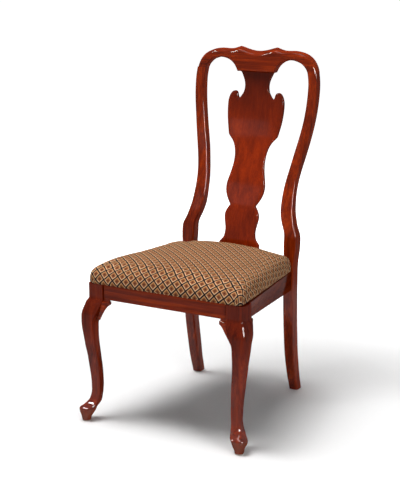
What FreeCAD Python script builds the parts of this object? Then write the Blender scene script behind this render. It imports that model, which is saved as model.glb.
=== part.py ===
import FreeCAD, Part
import math
import os
import Sketcher
from FreeCAD import Placement, Rotation, Vector

# Carved wooden side chair with a solid vase-shaped splat, cabriole front legs and an upholstered seat.
# Millimetres. Seen from the front, X runs to the right, Y to the back and Z up.
# Origin: on the floor, in the middle of the chair's outline.

doc = FreeCAD.newDocument("SideChair")

# Driving dimensions
SIZES = {
    # whole chair
    "chair_height": 1055.0,
    "front_reach": 28.0,
    "back_reach": 586.5,
    # seat frame
    "front_width": 496.0,
    "rear_width": 378.0,
    "frame_depth": 453.0,
    "rail_top": 413.0,
    "rail_depth": 43.5,
    "rail_thickness": 22.0,
    "rail_setback": 2.4,
    "side_top_drop": 12.0,
    "side_bottom_drop": 28.0,
    "back_rail_rise": 11.0,
    "back_rail_depth": 76.0,
    "back_rail_setback": 6.0,
    # front legs
    "leg_post": 51.6,
    "post_corner": 13.8,
    "post_edge": 1.5,
    "rim_height": 38.0,
    "toe_shift": 27.0,
    # knee returns
    "return_length": 20.0,
    "return_gap": 5.5,
    "return_thickness": 14.0,
    "return_edge": 2.0,
    # back posts and crest
    "post_depth": 29.0,
    "leg_depth": 35.0,
    "post_round": 5.0,
    "knuckle_height": 510.0,
    "crest_rise": 70.0,
    "shoulder_half": 205.8,
    "back_lean": 118.0,
    "leg_splay": 65.0,
    "crest_round": 8.0,
    "crest_edge": 3.0,
    "crest_drop": 10.5,
    # splat and shoe
    "splat_half": 94.2,
    "splat_thickness": 12.0,
    "tenon_thickness": 8.0,
    "tenon_half": 44.0,
    "tenon_length": 13.0,
    "shoe_height": 26.0,
    "shoe_half": 76.0,
    "shoe_thickness": 24.0,
    "shoe_cove": 3.0,
    # seat
    "pad_rear_gap": 1.0,
    "pad_overhang": 2.0,
    "pad_side_overhang": 0.5,
    "pad_crown": 73.0,
    "pad_side": 25.0,
    "pad_bulge": 3.0,
    "pad_shoulder": 22.0,
    "cover_thickness": 1.2,
    "cover_lap": 35.0,
    "board_thickness": 12.0,
    "dust_cover_thickness": 0.8,
    "dust_cover_margin": 1.0,
    # joinery
    "dowel_diameter": 9.5,
    "dowel_length": 50.0,
    "crest_dowel_length": 36.0,
    "dowel_inset": 13.0,
    "dowel_end_gap": 1.0,
    "block_leg": 62.0,
    "block_height": 30.0,
    "block_drop": 9.0,
    "screw_diameter": 4.5,
    "screw_head": 8.5,
    "screw_head_height": 2.6,
    "screw_seat": 12.0,
    "block_screw_length": 28.0,
    "seat_screw_bite": 8.0,
    "tack_head": 6.0,
    "tack_head_height": 0.9,
    "tack_shank": 1.6,
    "tack_length": 8.0,
    "tack_edge": 30.5,
    "tack_pitch": 60.0,
    # glides
    "glide_diameter": 24.0,
    "glide_height": 3.0,
    "nail_diameter": 2.6,
    "nail_length": 15.0,
    # fits
    "hole_clearance": 0.1,
    "fit_clearance": 0.3,
    "overrun": 2.0,
}

sheet = doc.addObject("Spreadsheet::Sheet", "Sizes")
for row, (name, value) in enumerate(SIZES.items(), start=1):
    sheet.set("A%d" % row, name)
    sheet.set("B%d" % row, str(value))
    sheet.setAlias("B%d" % row, name)
doc.recompute()


def size(name):
    return float(sheet.get(name))


def worth(text):
    return float(sheet.evalExpression(text))


pieces = []


def keep(obj, label):
    obj.Label = label
    pieces.append(obj)
    return obj


def feature(label, shape, placement=None):
    obj = doc.addObject("Part::Feature", label)
    obj.Shape = shape
    if placement is not None:
        obj.Placement = placement
    return obj


# Geometry helpers

# Height of the smooth curve through (a, b) points, at one a.
def eased(points, at):
    last = len(points) - 2
    i = 0
    while i < last and at > points[i + 1][0]:
        i += 1
    (a0, b0), (a1, b1) = points[i], points[i + 1]
    before = points[i - 1] if i > 0 else points[i]
    after = points[i + 2] if i < last else points[i + 1]
    slope0 = (b1 - before[1]) / (a1 - before[0])
    slope1 = (after[1] - b0) / (after[0] - a0)
    span = a1 - a0
    t = (at - a0) / span
    return (
        b0 * (1 + 2 * t) * (1 - t) ** 2
        + b1 * t * t * (3 - 2 * t)
        + span * slope0 * t * (1 - t) ** 2
        + span * slope1 * t * t * (t - 1)
    )


# Closed flat wire through the corners, each rounded by its own radius.
def rounded_wire(corners, radii):
    ends = []
    count = len(corners)
    for i in range(count):
        here = corners[i]
        back = (corners[i - 1] - here).normalize()
        ahead = (corners[(i + 1) % count] - here).normalize()
        half = back.getAngle(ahead) / 2
        reach = radii[i] / math.tan(half)
        middle = (back + ahead).normalize() * (radii[i] / math.sin(half) - radii[i])
        ends.append((here + back * reach, here + middle, here + ahead * reach))
    edges = []
    for i in range(count):
        first, middle, last = ends[i]
        edges.append(Part.Arc(first, middle, last).toShape())
        edges.append(Part.LineSegment(last, ends[(i + 1) % count][0]).toShape())
    return Part.Wire(edges)


def smooth_loft(wires):
    return Part.makeLoft(wires, True, False)


def mirrored(shape):
    return shape.mirror(Vector(0, 0, 0), Vector(1, 0, 0))


def rod(diameter, start, direction, length):
    return Part.makeCylinder(diameter / 2, length, start, direction)


def solid_box(x0, x1, y0, y1, z0, z1):
    return Part.makeBox(x1 - x0, y1 - y0, z1 - z0, Vector(x0, y0, z0))


# Box tied to the sheet: three sizes and a corner, each as an expression.
def sized_box(label, length, width, height, corner):
    obj = doc.addObject("Part::Box", label)
    for prop, text in zip(("Length", "Width", "Height"), (length, width, height)):
        obj.setExpression(prop, text)
    for axis, text in zip("xyz", corner):
        obj.setExpression("Placement.Base." + axis, text)
    return obj


# Padded outline tied to the sheet: corners, length and place are expressions.
def outline_body(label, role, corners, length, place):
    body = doc.addObject("PartDesign::Body", label)
    sketch = body.newObject("Sketcher::SketchObject", label + "_outline")
    plane = [item for item in body.Origin.OriginFeatures if item.Role == role][0]
    sketch.AttachmentSupport = [(plane, "")]
    sketch.MapMode = "FlatFace"
    points = [Vector(worth(a), worth(b), 0) for a, b in corners]
    count = len(points)
    for i in range(count):
        sketch.addGeometry(Part.LineSegment(points[i], points[(i + 1) % count]), False)
    for i in range(count):
        sketch.addConstraint(Sketcher.Constraint("Coincident", i, 2, (i + 1) % count, 1))
    for i in range(count):
        for kind, text, value in zip(("DistanceX", "DistanceY"), corners[i], points[i]):
            index = sketch.addConstraint(Sketcher.Constraint(kind, -1, 1, i, 1, value))
            sketch.setExpression("Constraints[%d]" % index, text)
    pad = body.newObject("PartDesign::Pad", label + "_pad")
    pad.Profile = sketch
    pad.setExpression("Length", length)
    for axis, text in zip("xyz", place):
        body.setExpression("Placement.Base." + axis, text)
    doc.recompute()
    return body


# Piece with holes or ends cut away by shapes worked out from the same sizes.
def cut_piece(label, base, cutters):
    tool = feature(label + "_cuts", Part.makeCompound(cutters))
    result = doc.addObject("Part::Cut", label + "_cut")
    result.Base = base
    result.Tool = tool
    doc.recompute()
    return keep(result, label)


# Frame lines that several pieces share
FRONT_TEXT = "(Sizes.front_reach - Sizes.back_reach) / 2"
PAD_DEPTH_TEXT = "(Sizes.frame_depth + Sizes.pad_overhang - Sizes.pad_rear_gap)"
SLOPE_TEXT = "((Sizes.front_width - Sizes.rear_width) / 2 / (Sizes.frame_depth - Sizes.leg_post))"

half_front = size("front_width") / 2
half_rear = size("rear_width") / 2
post = size("leg_post")
front_y = worth(FRONT_TEXT)
pad_depth = worth(PAD_DEPTH_TEXT)
post_y = front_y + size("frame_depth")
rail_bottom = size("rail_top") - size("rail_depth")
rear_rail_top = size("rail_top") - size("side_top_drop")
rear_rail_bottom = rail_bottom - size("side_bottom_drop")
leg_x = half_front - post / 2
leg_y = front_y + post / 2
post_in_x = half_front - post
post_in_y = front_y + post
side_slope = worth(SLOPE_TEXT)
side_turn = math.atan(side_slope)
rail_wide = size("rail_thickness") / math.cos(side_turn)
back_rail_y = post_y + size("back_rail_setback")
over = size("overrun")
fit = size("fit_clearance")
shoulder_z = size("chair_height") - size("crest_rise")


def side_outer_x(y):
    return half_front - size("rail_setback") - (y - post_in_y) * side_slope


def side_inner_x(y):
    return side_outer_x(y) - rail_wide


# The seat lies on a plane that falls to the back. Everything under it is cut to that plane.
seat_tilt = math.atan(size("side_top_drop") / size("frame_depth"))
seat_place = Placement(
    Vector(0, front_y - size("pad_overhang"), size("rail_top")),
    Rotation(Vector(1, 0, 0), -math.degrees(seat_tilt)),
)
above_seat = solid_box(
    -half_front - over, half_front + over, -over, pad_depth, 0, 2 * size("pad_crown")
)
above_seat.Placement = seat_place


def on_seat(shape):
    moved = shape.copy()
    moved.Placement = seat_place.inverse().multiply(moved.Placement)
    return moved


# Middle line of the back in side view: share of the height above the knuckle, share of the lean
SPINE_SHARES = (
    (0.0, 0.165), (0.037, 0.20), (0.11, 0.29), (0.183, 0.39), (0.257, 0.498), (0.33, 0.606),
    (0.404, 0.705), (0.477, 0.784), (0.55, 0.851), (0.624, 0.904), (0.697, 0.938), (0.77, 0.968),
    (0.844, 0.99), (0.9, 1.0), (1.0, 1.01),
)


def spine_y(height):
    rise = size("chair_height") - size("knuckle_height")
    share = (height - size("knuckle_height")) / rise
    return post_y + size("back_lean") * eased(SPINE_SHARES, share)


# Dowels: middle point and direction of each, with its length
x_dir = Vector(1, 0, 0)
y_dir = Vector(0, 1, 0)
z_dir = Vector(0, 0, 1)
inset = size("dowel_inset")
front_rail_y = front_y + size("rail_setback") + size("rail_thickness") / 2
back_rail_top = size("rail_top") + size("back_rail_rise")
back_rail_bottom = back_rail_top - size("back_rail_depth")
rail_half = rail_wide / 2
crest_dowel_share = 0.882
post_inner_share = 0.829

front_dowels = []
back_dowels = []
side_front_dowels = []
side_rear_dowels = []
for z in (rail_bottom + inset, size("rail_top") - inset):
    front_dowels.append((Vector(post_in_x, front_rail_y, z), x_dir, size("dowel_length")))
    x = side_outer_x(post_in_y) - rail_half
    side_front_dowels.append((Vector(x, post_in_y, z), y_dir, size("dowel_length")))
for z in (rear_rail_bottom + inset, rear_rail_top - inset):
    x = side_outer_x(post_y) - rail_half
    side_rear_dowels.append((Vector(x, post_y, z), y_dir, size("dowel_length")))
for z in (back_rail_bottom + inset * 3 / 2, back_rail_top - inset * 3 / 2):
    y = back_rail_y + size("rail_thickness") / 2
    back_dowels.append((Vector(half_rear * post_inner_share, y, z), x_dir, size("dowel_length")))
crest_dowel_x = size("shoulder_half") * crest_dowel_share
crest_dowel_spot = Vector(crest_dowel_x, spine_y(shoulder_z), shoulder_z)
crest_dowels = [(crest_dowel_spot, z_dir, size("crest_dowel_length"))]


def dowel(spot):
    middle, direction, length = spot
    return rod(size("dowel_diameter"), middle - direction * (length / 2), direction, length)


def dowel_hole(spot):
    middle, direction, length = spot
    deep = length / 2 + size("dowel_end_gap")
    wide = size("dowel_diameter") + 2 * size("hole_clearance")
    return rod(wide, middle - direction * deep, direction, 2 * deep)


def nail_hole(x, y):
    wide = size("nail_diameter") + 2 * size("hole_clearance")
    start = Vector(x, y, 0)
    return rod(wide, start, z_dir, size("glide_height") + size("nail_length") + size("dowel_end_gap"))


# Front legs

# height share, middle to the side and to the front as shares of the toe's shift,
# half width as a share of half the post, outer and other corner radii as shares of the half width
FOOT_SHARES = (
    (0.000, 0.996, 1.311, 0.480, 0.97, 0.97),
    (0.257, 0.993, 1.296, 0.560, 0.97, 0.97),
    (0.486, 0.959, 1.270, 0.668, 0.90, 0.90),
    (0.714, 0.952, 1.185, 0.798, 0.75, 0.85),
    (0.886, 0.911, 1.144, 0.845, 0.62, 0.80),
    (1.000, 0.874, 1.141, 0.857, 0.57, 0.79),
)
LEG_SHARES = (
    (0.000, 0.874, 1.141, 0.857, 0.57, 0.79),
    (0.006, 0.848, 1.133, 0.853, 0.55, 0.76),
    (0.018, 0.748, 1.030, 0.798, 0.50, 0.62),
    (0.030, 0.622, 0.859, 0.736, 0.48, 0.55),
    (0.042, 0.526, 0.700, 0.694, 0.46, 0.47),
    (0.066, 0.374, 0.511, 0.624, 0.48, 0.45),
    (0.097, 0.278, 0.404, 0.578, 0.50, 0.50),
    (0.127, 0.215, 0.344, 0.554, 0.50, 0.50),
    (0.187, 0.178, 0.304, 0.566, 0.50, 0.48),
    (0.247, 0.185, 0.307, 0.581, 0.50, 0.48),
    (0.308, 0.230, 0.344, 0.601, 0.50, 0.47),
    (0.368, 0.293, 0.396, 0.624, 0.52, 0.43),
    (0.428, 0.374, 0.463, 0.632, 0.56, 0.33),
    (0.489, 0.459, 0.519, 0.643, 0.58, 0.30),
    (0.549, 0.556, 0.596, 0.671, 0.57, 0.28),
    (0.609, 0.630, 0.670, 0.690, 0.57, 0.25),
    (0.670, 0.696, 0.726, 0.721, 0.56, 0.22),
    (0.730, 0.752, 0.767, 0.767, 0.56, 0.18),
    (0.775, 0.774, 0.774, 0.798, 0.56, 0.14),
    (0.821, 0.722, 0.722, 0.860, 0.52, 0.10),
    (0.851, 0.630, 0.630, 0.946, 0.48, 0.08),
    (0.881, 0.500, 0.500, 1.027, 0.45, 0.07),
    (0.911, 0.378, 0.378, 1.054, 0.46, 0.06),
    (0.941, 0.244, 0.244, 1.070, 0.48, 0.06),
    (0.971, 0.130, 0.130, 1.062, 0.50, 0.06),
    (0.983, 0.070, 0.070, 1.035, 0.52, 0.06),
)


def leg_section(height, side_share, front_share, half_share, outer_round, other_round):
    half = half_share * post / 2
    x = leg_x + side_share * size("toe_shift")
    y = leg_y - front_share * size("toe_shift")
    corners = [
        Vector(x + half, y - half, height),
        Vector(x + half, y + half, height),
        Vector(x - half, y + half, height),
        Vector(x - half, y - half, height),
    ]
    inner_round = (outer_round + other_round) / 2
    radii = [outer_round * half, other_round * half, inner_round * half, other_round * half]
    return rounded_wire(corners, radii)


def leg_sections(shares, bottom, top):
    return [leg_section(bottom + row[0] * (top - bottom), *row[1:]) for row in shares]


foot_x = leg_x + FOOT_SHARES[0][1] * size("toe_shift")
foot_y = leg_y - FOOT_SHARES[0][2] * size("toe_shift")


def front_leg_shape():
    corners = [
        Vector(half_front, front_y, rail_bottom),
        Vector(half_front, post_in_y, rail_bottom),
        Vector(post_in_x, post_in_y, rail_bottom),
        Vector(post_in_x, front_y, rail_bottom),
    ]
    edge = size("post_edge")
    post_wire = rounded_wire(corners, [size("post_corner"), edge, edge, edge])
    sections = leg_sections(LEG_SHARES, size("rim_height"), rail_bottom)
    upper = smooth_loft(sections + [post_wire])
    lower = smooth_loft(leg_sections(FOOT_SHARES, size("glide_height"), size("rim_height")))
    block = Part.Face(post_wire).extrude(Vector(0, 0, size("rail_depth")))
    holes = [dowel_hole(spot) for spot in front_dowels + side_front_dowels]
    holes += [above_seat, nail_hole(foot_x, foot_y)]
    return upper.fuse([lower, block]).cut(holes)


front_leg = front_leg_shape()
keep(feature("front_leg_right_shape", front_leg), "front_leg_right")
keep(feature("front_leg_left_shape", mirrored(front_leg)), "front_leg_left")

# Back posts

# height share up to the knuckle, outer and inner face as shares of the rear half width,
# front face as a share of the splay, depth as a share of the leg depth
REAR_LEG_SHARES = (
    (0.000, 0.988, 0.840, 0.985, 0.943),
    (0.034, 0.988, 0.836, 0.892, 0.957),
    (0.073, 0.989, 0.832, 0.777, 0.971),
    (0.112, 0.990, 0.829, 0.677, 0.986),
    (0.191, 0.992, 0.823, 0.515, 1.000),
    (0.270, 0.994, 0.821, 0.377, 1.006),
    (0.349, 1.000, 0.824, 0.262, 1.014),
    (0.428, 1.004, 0.826, 0.169, 1.023),
    (0.507, 1.008, 0.828, 0.092, 1.029),
    (0.586, 1.011, 0.829, 0.034, 1.029),
    (0.655, 1.013, 0.829, 0.000, 1.029),
    (0.734, 1.013, 0.829, 0.000, 1.017),
    (0.809, 1.014, 0.827, 0.000, 1.000),
    (0.852, 1.021, 0.821, 0.005, 1.000),
    (0.901, 1.034, 0.815, 0.023, 1.000),
    (0.951, 1.038, 0.810, 0.046, 1.000),
)
# height share from the knuckle to the shoulder, outer and inner face as shares of the shoulder half,
# depth as a share of the post depth
POST_SHARES = (
    (0.000, 0.939, 0.741, 1.207), (0.032, 0.906, 0.719, 1.19), (0.063, 0.879, 0.688, 1.16),
    (0.095, 0.859, 0.663, 1.12), (0.126, 0.841, 0.645, 1.08), (0.168, 0.827, 0.635, 1.04),
    (0.211, 0.818, 0.633, 1.0), (0.253, 0.813, 0.636, 1.0), (0.295, 0.814, 0.643, 1.0),
    (0.337, 0.821, 0.656, 1.0), (0.379, 0.834, 0.672, 1.0), (0.421, 0.851, 0.690, 1.0),
    (0.463, 0.870, 0.707, 1.0), (0.547, 0.909, 0.747, 1.0), (0.632, 0.944, 0.788, 1.0),
    (0.716, 0.972, 0.820, 1.0), (0.800, 0.992, 0.842, 1.0), (0.884, 1.000, 0.852, 1.0),
    (0.947, 0.994, 0.848, 1.0), (1.000, 0.977, 0.828, 1.0),
)


def post_section(height, outer, inner, front, depth):
    corners = [
        Vector(outer, front, height),
        Vector(outer, front + depth, height),
        Vector(inner, front + depth, height),
        Vector(inner, front, height),
    ]
    return rounded_wire(corners, [size("post_round")] * 4)


def rear_leg_section(height_share, outer_share, inner_share, front_share, depth_share):
    floor = size("glide_height")
    height = floor + height_share * (size("knuckle_height") - floor)
    front = post_y + front_share * size("leg_splay")
    return post_section(
        height, outer_share * half_rear, inner_share * half_rear, front, depth_share * size("leg_depth")
    )


def upper_post_section(height_share, outer_share, inner_share, depth_share):
    rise = shoulder_z - size("knuckle_height")
    height = size("knuckle_height") + height_share * rise
    wide = size("shoulder_half")
    front = spine_y(height) - size("post_depth") / 2
    deep = depth_share * size("post_depth")
    return post_section(height, outer_share * wide, inner_share * wide, front, deep)


rear_foot_x = half_rear * (REAR_LEG_SHARES[0][1] + REAR_LEG_SHARES[0][2]) / 2
rear_foot_y = post_y + REAR_LEG_SHARES[0][3] * size("leg_splay")
rear_foot_y += REAR_LEG_SHARES[0][4] * size("leg_depth") / 2


def back_post_shape():
    upper_wires = [upper_post_section(*row) for row in POST_SHARES]
    lower = smooth_loft([rear_leg_section(*row) for row in REAR_LEG_SHARES] + upper_wires[:1])
    upper = smooth_loft(upper_wires)
    return lower.fuse(upper)


whole_post = back_post_shape()
post_holes = [dowel_hole(spot) for spot in side_rear_dowels + back_dowels + crest_dowels]
back_post = whole_post.cut(post_holes + [nail_hole(rear_foot_x, rear_foot_y)])
keep(feature("back_post_right_shape", back_post), "back_post_right")
keep(feature("back_post_left_shape", mirrored(back_post)), "back_post_left")

# Crest rail

# inner point and outer point, each as a share of the shoulder half and of the rise above the shoulder,
# then how far the front edge falls, as a share of the full drop
CREST_SHARES = (
    (0.828, 0.000, 0.977, 0.000, 0.00),
    (0.807, 0.121, 0.960, 0.186, 0.10),
    (0.773, 0.243, 0.928, 0.386, 0.19),
    (0.729, 0.350, 0.875, 0.586, 0.29),
    (0.680, 0.414, 0.792, 0.750, 0.38),
    (0.622, 0.464, 0.695, 0.843, 0.48),
    (0.559, 0.479, 0.583, 0.879, 0.52),
    (0.496, 0.450, 0.500, 0.871, 0.57),
    (0.437, 0.386, 0.437, 0.877, 0.67),
    (0.384, 0.279, 0.389, 0.907, 0.76),
    (0.335, 0.114, 0.340, 0.954, 0.86),
    (0.299, -0.090, 0.299, 1.000, 1.00),
)
# place from the horn to the middle, height share of the top edge
HORN_SHARES = ((1.0, 1.0), (0.82, 0.964), (0.6, 0.907), (0.33, 0.85), (0.0, 0.821))
horn_rise = size("crest_rise")


def crest_section(inner, outer, drop):
    half = size("post_depth") / 2
    down = (inner - outer).normalize()
    front_top = outer + down * drop
    low_y = spine_y(inner.z)
    high_y = spine_y(outer.z)
    corners = [
        Vector(inner.x, low_y - half, inner.z),
        Vector(front_top.x, high_y - half, front_top.z),
        Vector(outer.x, high_y + half, outer.z),
        Vector(inner.x, low_y + half, inner.z),
    ]
    small = size("post_round")
    return rounded_wire(corners, [small, size("crest_round"), size("crest_edge"), small])


def crest_arm():
    wires = []
    wide = size("shoulder_half")
    base = shoulder_z
    for inner_x, inner_z, outer_x, outer_z, drop in CREST_SHARES:
        inner = Vector(inner_x * wide, 0, base + inner_z * horn_rise)
        outer = Vector(outer_x * wide, 0, base + outer_z * horn_rise)
        wires.append(crest_section(inner, outer, drop * size("crest_drop")))
    return smooth_loft(wires)


def crest_middle():
    wires = []
    horn = CREST_SHARES[-1][2] * size("shoulder_half")
    bottom = shoulder_z + CREST_SHARES[-1][1] * horn_rise
    places = [(share, top) for share, top in HORN_SHARES]
    places += [(-share, top) for share, top in HORN_SHARES[-2::-1]]
    for share, top in places:
        inner = Vector(share * horn, 0, bottom)
        outer = Vector(share * horn, 0, shoulder_z + top * horn_rise)
        wires.append(crest_section(inner, outer, size("crest_drop")))
    return smooth_loft(wires)


crest_low = shoulder_z + CREST_SHARES[-1][1] * horn_rise

# Splat

# half width as a share of the widest half, height as a share from the shoe to the crest
SPLAT_BASE_SHARES = (
    (0.714, 0.0246), (0.651, 0.0378), (0.569, 0.0567), (0.544, 0.0757), (0.535, 0.0946), (0.542, 0.1135),
    (0.563, 0.1324), (0.586, 0.1513), (0.602, 0.1702), (0.600, 0.1891), (0.567, 0.2081), (0.506, 0.2270),
    (0.451, 0.2413),
)
SPLAT_VASE_SHARES = (
    (0.451, 0.2413), (0.534, 0.2648), (0.596, 0.2837), (0.642, 0.3026), (0.670, 0.3215), (0.680, 0.3405),
    (0.678, 0.3594), (0.658, 0.3783), (0.632, 0.3972), (0.582, 0.4350), (0.549, 0.4729), (0.542, 0.5012),
    (0.552, 0.5296), (0.572, 0.5485), (0.602, 0.5674), (0.649, 0.5863), (0.719, 0.6053), (0.818, 0.6242),
    (0.870, 0.6355),
)
SPLAT_HEAD_SHARES = (
    (0.870, 0.6355), (0.902, 0.6620), (0.946, 0.6998), (0.979, 0.7377), (0.996, 0.7755), (1.000, 0.7982),
    (0.990, 0.8322), (0.963, 0.8511), (0.911, 0.8701), (0.849, 0.8814), (0.775, 0.8852), (0.717, 0.8814),
    (0.675, 0.8682), (0.658, 0.8549), (0.624, 0.8426),
)
SPLAT_NECK_SHARES = (
    (0.624, 0.8426), (0.573, 0.8502), (0.520, 0.8625), (0.467, 0.8776), (0.430, 0.8984), (0.421, 0.9173),
    (0.444, 0.9457), (0.484, 0.9646), (0.533, 0.9835), (0.582, 1.0000),
)
# front face: height share from the shoe to the crest, share of the lean
SPLAT_FACE_SHARES = (
    (0.000, 0.059), (0.047, 0.090), (0.095, 0.129), (0.132, 0.160), (0.189, 0.207), (0.265, 0.288),
    (0.322, 0.361), (0.378, 0.432), (0.454, 0.541), (0.530, 0.653), (0.605, 0.747), (0.681, 0.825),
    (0.757, 0.886), (0.832, 0.931), (0.908, 0.966), (1.000, 0.995),
)
shoe_top = back_rail_top + size("shoe_height")
splat_rise = crest_low - shoe_top


def through(points):
    curve = Part.BSplineCurve()
    curve.interpolate(points)
    return curve.toShape()


def splat_point(share, side):
    return Vector(side * share[0] * size("splat_half"), 0, shoe_top + share[1] * splat_rise)


def splat_outline():
    edges = []
    for side in (1, -1):
        foot = Vector(side * SPLAT_BASE_SHARES[0][0] * size("splat_half"), 0, shoe_top)
        edges.append(Part.LineSegment(foot, splat_point(SPLAT_BASE_SHARES[0], side)).toShape())
        for shares in (SPLAT_BASE_SHARES, SPLAT_VASE_SHARES, SPLAT_HEAD_SHARES, SPLAT_NECK_SHARES):
            edges.append(through([splat_point(share, side) for share in shares]))
    left_foot = Vector(-SPLAT_BASE_SHARES[0][0] * size("splat_half"), 0, shoe_top)
    right_foot = Vector(-left_foot.x, 0, shoe_top)
    edges.append(Part.LineSegment(left_foot, right_foot).toShape())
    ends = [splat_point(SPLAT_NECK_SHARES[-1], side) for side in (-1, 1)]
    edges.append(Part.LineSegment(*ends).toShape())
    return Part.Face(Part.Wire(Part.__sortEdges__(edges)))


def face_point(share, offset):
    y = post_y + share[1] * size("back_lean") + offset
    return Vector(0, y, shoe_top + share[0] * splat_rise)


def splat_slab():
    front = [face_point(share, 0) for share in SPLAT_FACE_SHARES]
    back = [face_point(share, size("splat_thickness")) for share in SPLAT_FACE_SHARES]
    wire = Part.Wire([
        through(front),
        Part.LineSegment(front[-1], back[-1]).toShape(),
        through(back[::-1]),
        Part.LineSegment(back[0], front[0]).toShape(),
    ])
    wide = size("splat_half") + over
    wire.translate(Vector(-wide, 0, 0))
    return Part.Face(wire).extrude(Vector(2 * wide, 0, 0))


# Tenon at one end of the splat, larger by the clearance where it is a mortise.
def tenon(share, up, clearance, deeper):
    middle = face_point(share, size("splat_thickness") / 2)
    half = size("tenon_half") + clearance
    thick = size("tenon_thickness") / 2 + clearance
    length = size("tenon_length") + deeper
    low = middle.z - over if up else middle.z - length
    high = middle.z + length if up else middle.z + over
    return solid_box(-half, half, middle.y - thick, middle.y + thick, low, high)


depth_all = size("back_lean") + size("post_depth")
splat_blank = splat_outline().extrude(Vector(0, depth_all, 0))
splat_blank.translate(Vector(0, post_y, 0))
splat = splat_blank.common(splat_slab())
splat = splat.fuse([
    tenon(SPLAT_FACE_SHARES[0], False, 0, 0),
    tenon(SPLAT_FACE_SHARES[-1], True, 0, 0),
])
keep(feature("splat_shape", splat), "splat")

arm = crest_arm()
crest = crest_middle().fuse([arm, mirrored(arm)])
crest_holes = [dowel_hole(spot) for spot in crest_dowels]
crest_cuts = crest_holes + [mirrored(hole) for hole in crest_holes]
crest_cuts.append(tenon(SPLAT_FACE_SHARES[-1], True, size("hole_clearance"), size("dowel_end_gap")))
crest = crest.cut(crest_cuts)
keep(feature("crest_rail_shape", crest), "crest_rail")

# Shoe under the splat, on the back rail
BACK_RAIL_TEXT = "(%s + Sizes.frame_depth + Sizes.back_rail_setback)" % FRONT_TEXT
shoe_stock = outline_body(
    "splat_shoe_stock",
    "YZ_Plane",
    [
        ("0", "0"),
        ("0", "Sizes.shoe_height / 2"),
        ("Sizes.shoe_cove", "Sizes.shoe_height"),
        ("Sizes.shoe_thickness - Sizes.shoe_cove", "Sizes.shoe_height"),
        ("Sizes.shoe_thickness", "Sizes.shoe_height / 2"),
        ("Sizes.shoe_thickness", "0"),
    ],
    "2 * Sizes.shoe_half",
    (
        "-1 * Sizes.shoe_half",
        "%s - Sizes.shoe_cove" % BACK_RAIL_TEXT,
        "Sizes.rail_top + Sizes.back_rail_rise",
    ),
)
shoe_mortise = tenon(SPLAT_FACE_SHARES[0], False, size("hole_clearance"), size("dowel_end_gap"))
cut_piece("splat_shoe", shoe_stock, [shoe_mortise])

# Corner blocks with their screws
RAIL_IN_TEXT = "(%s + Sizes.rail_setback + Sizes.rail_thickness)" % FRONT_TEXT
POST_X_TEXT = "(Sizes.front_width / 2 - Sizes.leg_post)"
POST_Y_TEXT = "(%s + Sizes.leg_post)" % FRONT_TEXT
REAR_Y_TEXT = "(%s + Sizes.frame_depth)" % FRONT_TEXT
WIDE_TEXT = "(Sizes.rail_thickness / cos(atan(%s)))" % SLOPE_TEXT
REAR_X_TEXT = "(%s * Sizes.rear_width / 2)" % post_inner_share


def side_inner_text(y_text):
    return "(Sizes.front_width / 2 - Sizes.rail_setback - (%s - %s) * %s - %s)" % (
        y_text, POST_Y_TEXT, SLOPE_TEXT, WIDE_TEXT,
    )


front_block_corners = (
    ("%s - Sizes.block_leg" % POST_X_TEXT, RAIL_IN_TEXT),
    (POST_X_TEXT, RAIL_IN_TEXT),
    (POST_X_TEXT, POST_Y_TEXT),
    (side_inner_text(POST_Y_TEXT), POST_Y_TEXT),
    (side_inner_text("(%s + Sizes.block_leg)" % POST_Y_TEXT), "%s + Sizes.block_leg" % POST_Y_TEXT),
)
rear_block_corners = (
    ("%s - Sizes.block_leg" % REAR_X_TEXT, BACK_RAIL_TEXT),
    (side_inner_text("(%s - Sizes.block_leg)" % REAR_Y_TEXT), "%s - Sizes.block_leg" % REAR_Y_TEXT),
    (side_inner_text(REAR_Y_TEXT), REAR_Y_TEXT),
    (REAR_X_TEXT, REAR_Y_TEXT),
    (REAR_X_TEXT, BACK_RAIL_TEXT),
)
front_block_z = "Sizes.rail_top - Sizes.block_drop - Sizes.block_height"
rear_block_z = front_block_z + " - Sizes.side_top_drop"

seat_angle = Vector(0, -math.sin(seat_tilt), 0)


# Screw with a flat head: the head's seat point, the direction it is driven and its length.
def screw(seat, direction, length):
    head = size("screw_head_height")
    shank = rod(size("screw_diameter"), seat, direction, length)
    top = rod(size("screw_head"), seat - direction * head, direction, head)
    return shank.fuse(top).removeSplitter()


def screw_hole(seat, direction, length):
    gap = size("hole_clearance")
    shank = rod(size("screw_diameter") + 2 * gap, seat, direction, length + size("dowel_end_gap"))
    open_length = size("block_leg")
    top = rod(size("screw_head") + 4 * gap, seat - direction * open_length, direction, open_length)
    return shank.fuse(top)


side_out = Vector(math.cos(side_turn), math.sin(side_turn), 0)
side_along = Vector(-math.sin(side_turn), math.cos(side_turn), 0)
block_half = size("block_height") / 2
front_mid_z = worth(front_block_z) + block_half
rear_mid_z = worth(rear_block_z) + block_half
screw_reach_share = 0.42


def side_screw(y, height):
    start = Vector(side_inner_x(y), y, height)
    return (start - side_out * size("screw_seat"), side_out, size("block_screw_length"))


reach = size("block_leg") * screw_reach_share
front_rail_in = worth(RAIL_IN_TEXT)
rear_in_x = worth(REAR_X_TEXT)
front_seat_point = Vector(post_in_x - reach, front_rail_in + size("screw_seat"), front_mid_z)
rear_seat_point = Vector(rear_in_x - reach, back_rail_y - size("screw_seat"), rear_mid_z)
block_screws = [
    (front_seat_point, -y_dir, size("block_screw_length")),
    side_screw(post_in_y + reach, front_mid_z),
    side_screw(post_y - reach, rear_mid_z),
    (rear_seat_point, y_dir, size("block_screw_length")),
]


def board_under(y):
    across = (y - front_y + size("pad_overhang")) * math.tan(seat_tilt)
    return size("rail_top") - across + size("cover_thickness") + fit


def seat_screw(x, y, z_text):
    bottom = worth(z_text)
    return (Vector(x, y, bottom), z_dir, board_under(y) + size("seat_screw_bite") - bottom)


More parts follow.
